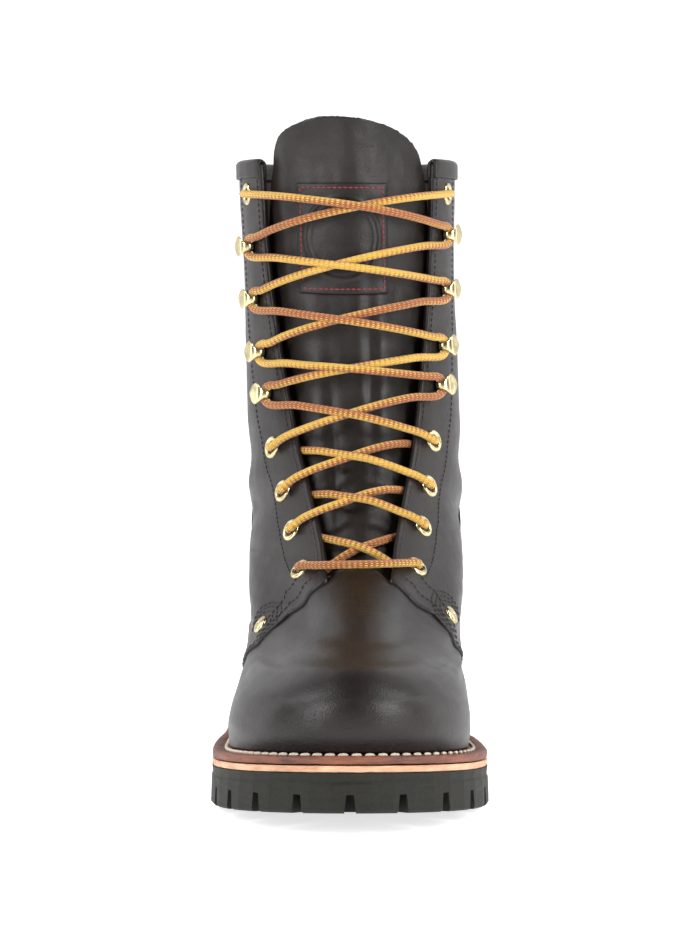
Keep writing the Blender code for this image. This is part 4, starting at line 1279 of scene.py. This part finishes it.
@dataclass
class Tongue:
    """The tongue and the bare patch sewn to it."""

    thickness: float = 0.0028
    patch_thickness: float = 0.0014
    root: float = 5.2
    overlap: float = 0.013
    top_rise: float = 0.97
    shoulder: float = 0.45
    shift: float = 0.0030
    patch_left: float = -31.0
    patch_right: float = 24.0
    patch_low: float = 9.0
    patch_high: float = 9.80
    depths: tuple[Spot, ...] = ((5.2, 0.0023), (5.9, 0.0064), (8.0, 0.0064), (9.2, 0.0047), (11.2, 0.0047))

    def lie(self, angle: float, row: float, out: float) -> Vector:
        """Returns a point at a height over the tongue's face.

        Args:
            angle: Turn round the ring; 0 is the front.
            row: Row of the ring table.
            out: Height over the surface.

        Returns:
            The point.
        """
        point = LAST.shell(angle, row, out - straight(self.depths, row))
        point.x -= self.shift * ease(COLLAR - 0.2, COLLAR + 1.0, row)
        return point

    def pucker(self, angle: float, row: float) -> float:
        """Returns the height of the tongue's soft upright folds.

        Args:
            angle: Turn round the ring; 0 is the front.
            row: Row of the ring table.

        Returns:
            The height in metres.
        """
        across = math.degrees(angle) / 36.0
        waves = 0.0007 * math.sin(across * 5.2 + 0.8 * math.sin(row * 2.1)) * ease(5.8, 7.2, row)
        dents = -0.0016 * hump(across, 0.34, 0.13) * hump(row, 8.5, 0.9)
        dents -= 0.0014 * hump(across, -0.42, 0.12) * hump(row, 7.7, 0.8)
        dents += 0.0010 * hump(across, 0.05, 0.2) * hump(row, 10.4, 0.5)
        spot = LAST.point(angle, row)
        return waves + dents + 0.0004 * noise.noise(spot * 60.0) + 0.0002 * noise.noise(spot * 190.0)

    def place(self, u: float, v: float) -> Vector:
        """Returns a point of the tongue's face at shares across and up.

        Args:
            u: Share across or round.
            v: Share up.

        Returns:
            The point.
        """
        across = 2 * u - 1
        share = math.sin(math.pi / 2 * abs(across))
        side = COLLAR - self.shoulder
        top = side + (self.top_rise + self.shoulder) * math.sqrt(max(0.0, 1 - share * share))
        row = blend(self.root, top, v)
        wide = LAST.from_edge(round(min(row, COLLAR), 3), self.overlap)
        narrow = wide * blend(0.55, 1.0, ease(THROAT - 1.0, THROAT + 1.0, row))
        reach = blend(narrow, LAST.throat(float(COLLAR)), ease(COLLAR - 1.2, COLLAR, row))
        angle = math.copysign(share, across) * reach
        point = self.lie(angle, row, self.pucker(angle, row))
        if v == 1.0:
            point.z += 0.0006 * noise.noise(Vector((u * 60, 0, 3)))
        return point

    def patch_spot(self, u: float, v: float) -> Spot:
        """Returns the angle and row of the patch at shares across and up."""
        angle = math.radians(blend(self.patch_left, self.patch_right, u))
        return angle, blend(self.patch_low, self.patch_high, v)

    def patch_place(self, u: float, v: float) -> Vector:
        """Returns a point of the patch, with its plain oval ridge.

        Args:
            u: Share across or round.
            v: Share up.

        Returns:
            The point.
        """
        angle, row = self.patch_spot(u, v)
        oval = math.hypot((u - 0.5) / 0.40, (v - 0.5) / 0.36)
        ridge = 0.00045 * hump(oval, 1.0, 0.055) + 0.00020 * hump(oval, 0.86, 0.04)
        edge = min(u, v, 1 - u, 1 - v)
        out = 0.0016 + ridge - 0.0005 * hump(edge, 0.0, 0.012)
        return self.lie(angle, row, out + 0.5 * self.pucker(angle, row))

    def build(self) -> None:
        """Makes the tongue, its patch and the patch's stitches."""
        tongue = keep(cloth_grid(110, 190, self.place), "tongue_leather", TONGUE_LEATHER)
        thicken(tongue, self.thickness, LINING)
        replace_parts(tongue, "tongue")
        patch = keep(cloth_grid(80, 90, self.patch_place), "tongue_patch", TONGUE_LEATHER)
        thicken(patch, self.patch_thickness)
        form = bmesh.new()
        border = [(0.055, 0.05), (0.945, 0.05), (0.945, 0.95), (0.055, 0.95), (0.055, 0.05)]
        line = []
        for (u, v), (u_to, v_to) in zip(border, border[1:]):
            for i in range(24):
                across, up = blend(u, u_to, i / 24), blend(v, v_to, i / 24)
                angle, row = self.patch_spot(across, up)
                line.append((self.patch_place(across, up), LAST.skin(angle, row)[2]))
        Seam(0.0024, 0.0020, 0.0008).sew(form, line)
        keep(form, "patch_seam", RED_THREAD)


@dataclass
class SoleEdge:
    """Midsole band, welt and its waxed stitches, and the finishes of the rubber and footbed."""

    stitch: Seam = field(default_factory=lambda: Seam(0.0052, 0.0048, 0.0016, 0.0002))
    stitch_inset: float = 0.0072
    stitch_lean: float = 0.16

    def ring(self, name: str, section: Sequence[Spot], level: Callable[[float], float], rough: float,
             finish: Finish, slot: str, node: str) -> None:
        """Sweeps a closed section round the sole.

        Args:
            name: The piece's name.
            section: Insets from the edge and heights over the level.
            level: Level at a share of the sole's length.
            rough: How far the surface wanders.
            finish: Its finish.
            slot: Not used.
            node: The CAD node it replaces.
        """
        count = len(section)

        def place(u: float, v: float) -> Vector:
            """Returns the point at shares round the sole and round the section.

            Args:
                u: Share across or round.
                v: Share round the section.

            Returns:
                The point.
            """
            inset, rise = section[round(v * count) % count]
            angle = (TURN * u) % TURN
            point = SOLE.point(angle, inset, level, rise)
            point += Vector((1, 1, 0.6)) * (rough * noise.noise(point * 260.0))
            return point

        form = cloth_grid(360, count, place, True)
        piece = keep(form, name, finish, 50.0)
        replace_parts(piece, node)

    def build(self) -> None:
        """Makes the bands and the welt's stitches, and paints the CAD sole."""
        inset = SOLE.edge_inset
        deep = SOLE.midsole
        self.ring("midsole_band", ((inset + 0.0003, 0.0), (inset, 0.0004), (inset, deep - 0.0004),
                                   (inset + 0.0003, deep), (0.030, deep), (0.030, 0.0)),
                  SOLE.midsole_bottom, 0.00012, MIDSOLE, "midsole_leather", "midsole")
        high = SOLE.welt
        wide = SOLE.welt_width
        self.ring("welt_strip", ((inset + 0.0004, 0.0), (inset, 0.0005), (inset, high - 0.0010),
                                 (inset + 0.0005, high - 0.0003), (inset + 0.0015, high),
                                 (inset + 0.0040, high - 0.0001), (inset + 0.0055, high - 0.0005),
                                 (inset + 0.0075, high), (wide, high), (wide, 0.0)),
                  SOLE.welt_bottom, 0.00022, WELT, "welt_leather", "welt")
        form = bmesh.new()
        line = []
        for i in range(721):
            point = SOLE.point((TURN * i / 720) % TURN, self.stitch_inset, SOLE.welt_top)
            line.append((point, Vector((0, 0, 1))))
        self.stitch.sew(form, line, self.stitch_lean)
        keep(form, "welt_stitches", WHITE_THREAD)
        for node, finish in (("outsole", SOLE_RUBBER), ("heel", SOLE_RUBBER), ("insole", FOOTBED)):
            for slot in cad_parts[node].material_slots:
                slot.material = paint(finish)


@dataclass(frozen=True)
class Hole:
    """One place of the lacing: its kind, its height on each side and its distance from the edge."""

    name: str
    kind: Brassware
    lateral: float
    medial: float
    lateral_back: float
    medial_back: float

    @lru_cache(maxsize=None)
    def spot(self, side: Side, rise: float = 0.0) -> Spot:
        """Returns the angle and row on one side, or above it.

        Args:
            side: Side of the foot.
            rise: Share of the shaft's height above the hole.

        Returns:
            The angle and row.
        """
        inner = side is Side.MEDIAL
        share = (self.medial if inner else self.lateral) + rise
        back = self.medial_back if inner else self.lateral_back
        height = blend(LAST.instep, LAST.collar, share)
        row = float(THROAT)
        for _ in range(4):
            row = LAST.row_at(side.value * LAST.from_edge(round(row, 3), back), height)
        return side.value * LAST.from_edge(round(row, 3), back), row

    def frame(self, side: Side, out: float) -> Matrix:
        """Returns a matrix on the leather: X away from the throat, Y up the boot, Z out.

        Args:
            side: Side of the foot.
            out: Height over the surface.

        Returns:
            The matrix.
        """
        angle, row = self.spot(side)
        point, around, outward = LAST.skin(angle, row)
        return seated(around * side.value, outward.cross(around), outward, point + outward * out)


LACING = (
    Hole("eyelet_4", Brassware.EYELET, -0.018, -0.012, 0.0168, 0.0150),
    Hole("eyelet_3", Brassware.EYELET, 0.070, 0.080, 0.0168, 0.0150),
    Hole("eyelet_2", Brassware.EYELET, 0.162, 0.174, 0.0168, 0.0150),
    Hole("eyelet_1", Brassware.EYELET, 0.267, 0.284, 0.0168, 0.0124),
    Hole("hook_4", Brassware.HOOK, 0.402, 0.423, 0.0124, 0.0124),
    Hole("hook_3", Brassware.HOOK, 0.509, 0.524, 0.0124, 0.0124),
    Hole("hook_2", Brassware.HOOK, 0.645, 0.669, 0.0124, 0.0124),
    Hole("hook_1", Brassware.HOOK, 0.781, 0.811, 0.0124, 0.0124),
    Hole("eyelet_top", Brassware.EYELET, 0.917, 0.917, 0.0142, 0.0142),
)


@dataclass
class Hardware:
    """Eyelets, speed hooks and rivets in plated brass."""

    level: float = 0.0005
    eyelet: float = 0.0050
    hole: float = 0.0026
    barrel: float = 0.0005
    flange: float = 0.0013
    depth: float = 0.0030
    hook_length: float = 0.0098
    hook_width: float = 0.0092
    hook_height: float = 0.0066
    metal: float = 0.0010
    rivet: float = 0.0040
    rivets: tuple[tuple[Side, float, float], ...] = ((Side.LATERAL, -71.0, 4.45), (Side.MEDIAL, 66.5, 4.75))
    rivet_seams: tuple[float, ...] = (0.0072, 0.0096, 0.0120)

    @staticmethod
    def turned(profile: Sequence[Spot], closed: bool, steps: int = 36) -> bmesh.types.BMesh:
        """Spins a profile of radius and height about Z.

        Args:
            profile: Radii and heights.
            closed: Whether the last point joins the first.
            steps: Faces round it.

        Returns:
            The mesh.
        """
        form = bmesh.new()
        points = [form.verts.new((radius, 0.0, height)) for radius, height in profile]
        edges = [form.edges.new(pair) for pair in zip(points, points[1:])]
        if closed:
            edges.append(form.edges.new((points[-1], points[0])))
        bmesh.ops.spin(form, geom=points + edges, cent=(0, 0, 0), axis=(0, 0, 1), angle=TURN, steps=steps,
                       use_merge=True)
        bmesh.ops.remove_doubles(form, verts=form.verts, dist=0.000005)
        bmesh.ops.recalc_face_normals(form, faces=form.faces)
        return form

    def eyelet_form(self) -> bmesh.types.BMesh:
        """Returns a rolled eyelet with its barrel and clinched back."""
        middle = (self.eyelet + self.hole) / 2
        half = (self.eyelet - self.hole) / 2
        roll = [(middle + half * math.cos(a), self.flange * math.sin(a) ** 0.8)
                for a in (math.pi * i / 10 for i in range(11))]
        back = self.hole + self.barrel
        profile = [(back, 0.0)] + roll + [(self.hole, -self.depth), (self.hole + 0.0014, -self.depth - 0.0004),
                                          (self.hole + 0.0016, -self.depth - 0.0002), (back, -self.depth + 0.0003)]
        return self.turned(profile, True)

    def rivet_form(self) -> bmesh.types.BMesh:
        """Returns a domed rivet with a dimple."""
        rim = self.rivet
        profile = [(0.0, 0.0), (rim, 0.0), (rim, 0.0005)]
        profile += [(rim * math.cos(a), 0.0005 + 0.0013 * math.sin(a))
                    for a in (math.pi / 2 * i / 8 for i in range(1, 7))]
        profile += [(rim * 0.22, 0.0017), (rim * 0.14, 0.0014), (0.0, 0.0013)]
        return self.turned(profile, False)

    def hook_form(self) -> bmesh.types.BMesh:
        """Returns a speed hook: riveted base, a narrow bend on the throat's side and an oval head."""
        half = self.hook_length / 2
        wide = self.hook_width / 2
        base = self.metal / 2
        head = self.hook_height - self.metal / 2
        middle = (base + head) / 2
        path = ((0.96, base, 0.10), (0.90, base, 0.36), (0.60, base, 0.75), (0.10, base, 0.92), (-0.45, base, 0.72),
                (-0.85, blend(base, middle, 0.35), 0.46), (-1.00, middle, 0.40),
                (-0.85, blend(head, middle, 0.35), 0.46),
                (-0.45, head, 0.76), (0.10, head, 1.00), (0.60, head, 0.84), (0.90, head, 0.42), (0.96, head, 0.12))
        keys = range(len(path))
        columns = [[row[i] for row in path] for i in range(3)]
        last = len(path) - 1

        def place(u: float, v: float) -> Vector:
            """Returns the point at shares round the strip and along it.

            Args:
                u: Share across or round.
                v: Share along.

            Returns:
                The point.
            """
            at = v * last
            along, height, width = (smooth(keys, column, at) for column in columns)
            ahead = Vector((smooth(keys, columns[0], at + 0.1) - smooth(keys, columns[0], at - 0.1), 0,
                            (smooth(keys, columns[1], at + 0.1) - smooth(keys, columns[1], at - 0.1)) / half))
            ahead.normalize()
            over = Vector((ahead.z, 0, -ahead.x))
            turn = TURN * u
            thick = self.metal / 2 * (0.15 if v in (0.0, 1.0) else 1.0)
            side = math.copysign(abs(math.cos(turn)) ** 0.75, math.cos(turn)) * max(width, 0.04) * wide
            return Vector((along * half, side, height)) + over * (math.sin(turn) * thick)

        form = cloth_grid(20, 48, place, True)
        bmesh.ops.holes_fill(form, edges=[e for e in form.edges if e.is_boundary], sides=0)
        rivet = Matrix.Translation((0.0004, 0, self.metal)) @ Matrix.Diagonal((0.0016, 0.0016, 0.0007, 1))
        bmesh.ops.create_uvsphere(form, u_segments=16, v_segments=8, radius=1.0, matrix=rivet)
        bmesh.ops.recalc_face_normals(form, faces=form.faces)
        return form

    def put(self, form: bmesh.types.BMesh, name: str, node: str, matrix: Matrix) -> None:
        """Keeps one piece at its place on the leather.

        Args:
            form: The mesh; it is freed.
            name: The name.
            node: The CAD node it replaces.
            matrix: Where it goes.
        """
        bmesh.ops.transform(form, matrix=matrix, verts=form.verts)
        bmesh.ops.recalc_face_normals(form, faces=form.faces)
        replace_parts(keep(form, name, PLATED, 50.0), node)

    def build(self) -> None:
        """Makes every eyelet, hook and rivet."""
        for hole in LACING:
            for side in Side:
                word = side.name.lower()
                form = self.eyelet_form() if hole.kind is Brassware.EYELET else self.hook_form()
                self.put(form, f"{hole.kind.value}_{hole.name[-1]}_{word}", f"{hole.name}_{word}",
                         hole.frame(side, self.level))
        form = bmesh.new()
        for side, angle, row in self.rivets:
            word = side.name.lower()
            point, around, outward = LAST.skin(math.radians(angle), row)
            matrix = seated(around, outward.cross(around), outward, point + outward * self.level)
            self.put(self.rivet_form(), f"stud_{word}", f"rivet_{word}", matrix)
            for reach in self.rivet_seams:
                line = []
                for i in range(25):
                    turn = blend(-0.15, 1.15, i / 24) * math.pi
                    flat = (around * side.value * math.cos(turn) + outward.cross(around) * math.sin(turn)) * reach
                    line.append((self.dropped(point + flat, angle, row), outward))
                Seam().sew(form, line)
        keep(form, "seam_rivets", BLACK_THREAD)

    @staticmethod
    def dropped(target: Vector, angle: float, row: float) -> Vector:
        """Returns the nearest point of the quarter's face to a target near a place.

        Args:
            target: The point aimed at.
            angle: Turn round the ring in degrees; 0 is the front.
            row: Row of the ring table.

        Returns:
            The point.
        """
        turn, level = math.radians(angle), row
        step, least = 0.02, 1e-4
        for _ in range(6):
            point, around, outward = LAST.skin(turn, level)
            off = target - point
            upward = outward.cross(around)
            turn += off.dot(around) / max((LAST.point(turn + step, level) - point).length / step, least)
            rise = LAST.point(turn, level + step) - LAST.point(turn, level)
            level += off.dot(upward) / max(rise.length / step, least)
        return LAST.shell(turn, level, 0.0010 + relief(turn, level))


@dataclass
class Lace:
    """One braided lace, run through the eyelets and round the hooks, each half from the middle of the bar."""

    radius: float = 0.0017
    step: float = 0.0010
    sides: int = 14
    flat: float = 0.0033
    bow: float = 1.8
    under: float = -0.0040
    face: float = 0.0005
    pass_by: float = 0.022
    slack: float = 0.62

    def through(self, hole: Hole, side: Side, outward: bool) -> list[Vector]:
        """Returns points through an eyelet, out of it or into it.

        Args:
            hole: Place of the lacing.
            side: Side of the foot.
            outward: Whether it comes out of the eyelet.

        Returns:
            The points.
        """
        matrix = hole.frame(side, self.face)
        points = [Vector((-0.0052, 0, -0.0046)), Vector((-0.0015, 0, -0.0040)), Vector((0.0003, 0, -0.0010)),
                  Vector((-0.0004, 0, 0.0018)), Vector((-0.0036, 0, 0.0031))]
        if not outward:
            points.reverse()
        return [matrix @ point for point in points]

    def round_hook(self, hole: Hole, side: Side) -> list[Vector]:
        """Returns points from below a hook, round the shank inside its mouth, to above it.

        Args:
            hole: Place of the lacing.
            side: Side of the foot.

        Returns:
            The points.
        """
        matrix = hole.frame(side, self.face)
        points = [Vector((-0.0098, -0.0044, 0.0026)), Vector((-0.0060, -0.0041, 0.0032)),
                  Vector((-0.0026, -0.0026, 0.0033)), Vector((-0.0016, 0, 0.0033)),
                  Vector((-0.0026, 0.0026, 0.0033)), Vector((-0.0060, 0.0041, 0.0032)),
                  Vector((-0.0098, 0.0044, 0.0026))]
        return [matrix @ point for point in points]

    def beside(self, hole: Hole, side: Side, rise: float) -> Spot:
        """Returns the angle and row, near the facing's edge, where a run meets a hook."""
        angle, row = hole.spot(side, rise)
        return blend(angle, side.value * LAST.throat(row), self.slack), row

    def over(self, start: Spot, end: Spot, lift: float, outs: Spot = (0.0033, 0.0033)) -> list[Vector]:
        """Returns the inner points of a run over the throat.

        Args:
            start: Angle and row where it leaves.
            end: Angle and row where it arrives.
            lift: Extra height at the crossing.
            outs: Heights at its two ends.

        Returns:
            Points between the ends.
        """
        line = []
        for i in range(1, 8):
            share = i / 8
            angle = blend(start[0], end[0], share)
            row = blend(start[1], end[1], 1 - (1 - share) ** self.bow)
            out = blend(outs[0], outs[1], share) + lift * hump(share, 0.5, 0.16)
            line.append(LAST.shell(angle, row, out))
        return line

    def half(self, side: Side, top: bool) -> list[Vector]:
        """Returns the whole route of one half, from the bar's middle to its top eyelet.

        Args:
            side: Side of the foot.
            top: Whether this half lies on top at the first crossing.

        Returns:
            The points.
        """
        other = Side(-side.value)
        lift = self.radius * (0.75 if top else -0.75)
        first = LACING[0]
        angle, row = first.spot(side)
        away, far = first.spot(other)
        route = []
        for i in range(6):
            share = 0.5 * i / 6
            route.append(LAST.shell(blend(away, angle, 0.5 + share), blend(far, row, 0.5 + share), self.flat))
        route += self.through(first, side, False)
        here = side
        for number in range(3):
            hole = LACING[number + 1]
            there = Side(-here.value)
            start, end = LACING[number].spot(here), hole.spot(there)
            if number == 0:
                route += self.inside(start, end, lift, here)
            else:
                route += self.dive(LACING[number], hole, here, lift)
            route += self.through(hole, there, True)
            here = there
            lift = -lift
        for low, high in zip(LACING[3:], LACING[4:]):
            there = Side(-here.value)
            if low.kind is Brassware.HOOK:
                start = self.beside(low, here, self.pass_by)
            else:
                start = low.spot(here)
            if high.kind is Brassware.HOOK:
                route += self.over(start, self.beside(high, there, -self.pass_by), lift)
                route += self.round_hook(high, there)
            else:
                route += self.over(start, high.spot(there), lift)[:-1]
                route += self.through(high, there, False)[:4]
            here = there
            lift = -lift
        return route

    def inside(self, start: Spot, end: Spot, lift: float, side: Side) -> list[Vector]:
        """Returns the short run that crosses under the facings at the bottom.

        Args:
            start: Angle and row where it leaves.
            end: Angle and row where it arrives.
            lift: Extra height at the crossing.
            side: Not used.

        Returns:
            The points.
        """
        line = []
        for i in range(1, 8):
            share = i / 8
            angle = blend(start[0], end[0], share)
            row = blend(start[1], end[1], share) + 0.10 * math.sin(math.pi * share)
            line.append(LAST.shell(angle, row, self.under + 0.0016 * hump(share, 0.5, 0.25) + lift * 0.8))
        return line

    def dive(self, low: Hole, high: Hole, side: Side, lift: float) -> list[Vector]:
        """Returns a run over the near facing that goes under the far one to the next eyelet.

        Args:
            low: Hole where it starts.
            high: Hole where it ends.
            side: Side of the foot.
            lift: Extra height at the crossing.

        Returns:
            The points.
        """
        there = Side(-side.value)
        start = low.spot(side)
        goal = high.spot(there)
        _, low_row = low.spot(there)
        row = blend(low_row, goal[1], 1.02)
        edge = (there.value * (LAST.throat(round(row, 3)) - 0.05), row)
        line = self.over(start, edge, lift, (0.0033, -0.0012))
        line.append(LAST.shell(edge[0], edge[1], -0.0024))
        for share in (0.35, 0.7):
            line.append(LAST.shell(blend(edge[0], goal[0], share), blend(edge[1], goal[1], share), self.under))
        return line

    def build(self) -> None:
        """Makes the lace from top eyelet to top eyelet and hides the plain crossings."""
        start = self.half(Side.LATERAL, False)
        route = spline(start[::-1] + self.half(Side.MEDIAL, True)[1:], self.step)
        LOG.info("lace: %.3f m", sum((b - a).length for a, b in zip(route, route[1:])))
        lace = swept("lace", route, self.radius, self.sides, LACE)
        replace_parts(lace, "lace_bar", *(f"lace_cross_{i}" for i in range(1, 9)))


@dataclass
class Studio:
    """Floor, lights and the camera."""

    eye: tuple[float, float, float] = (0.0, -1.653, 0.26)
    aim: tuple[float, float, float] = (0.0, -0.02, 0.1347)
    lens: float = 150.895
    boot: tuple[float, float, float] = (0.0, -0.02, 0.12)
    sky: float = 0.07

    def light(self, name: str, place: Sequence[float], size: Spot, power: float) -> None:
        """Adds a softbox that faces the boot.

        Args:
            name: The name.
            place: Where it stands.
            size: Width and height.
            power: Power in watts.
        """
        data = bpy.data.lights.new(name, "AREA")
        data.shape = "RECTANGLE"
        data.size, data.size_y = size
        data.energy = power
        lamp = linked(name, data)
        lamp.location = place
        lamp.rotation_euler = facing(place, self.boot)

    @staticmethod
    def sweep(across: float, share: float) -> Vector:
        """Returns a point of the seamless floor, which curves up behind the boot.

        Args:
            across: Share across, from -0.5 to 0.5.
            share: Share from the front to the top.

        Returns:
            The point.
        """
        if share <= 0.3:
            return Vector((across * 16.0, blend(-8.0, 1.2, share / 0.3), 0.0))
        turn = min((share - 0.3) / 0.5, 1.0) * math.pi / 2
        rise = max(0.0, share - 0.8) * 10.0
        return Vector((across * 16.0, 1.2 + 1.6 * math.sin(turn), 1.6 * (1 - math.cos(turn)) + rise))

    def build(self) -> None:
        """Makes the floor, the lights, the sky and the camera."""
        form = bmesh.new()
        bmesh.ops.create_grid(form, x_segments=4, y_segments=48, size=0.5)
        for vert in form.verts:
            vert.co = self.sweep(vert.co.x, vert.co.y + 0.5)
        floor = meshed(form, "floor", FLOOR)
        for sign, word in ((-1, "left"), (1, "right")):
            self.light(f"softbox_{word}", (sign * 1.05, -0.9, 0.62), (0.36, 0.95), 17.5 + sign * 2.0)
            self.light(f"crest_{word}", (sign * 0.85, -0.1, 1.05), (0.3, 0.6), 5.5)
            self.light(f"strip_{word}", (sign * 1.1, 0.35, 0.35), (0.3, 1.1), 3.0)
        world = bpy.data.worlds.new("studio")
        world.use_nodes = True
        sky = world.node_tree.nodes["Background"]
        sky.inputs["Color"].default_value = (1.0, 1.0, 1.0, 1.0)
        sky.inputs["Strength"].default_value = self.sky
        bpy.context.scene.world = world
        bpy.context.scene.view_settings.view_transform = "Standard"
        data = bpy.data.cameras.new("camera")
        data.lens = self.lens
        data.sensor_width = 36.0
        camera = linked("camera", data)
        camera.location = self.eye
        camera.rotation_euler = facing(self.eye, self.aim)
        bpy.context.scene.camera = camera


def main() -> None:
    """Builds every sub-assembly in order."""
    logging.basicConfig(level=logging.INFO)
    for assembly in (Studio(), SoleEdge(), Upper(), Tongue(), Hardware(), Lace()):
        assembly.build()


if __name__ == "__main__":
    main()
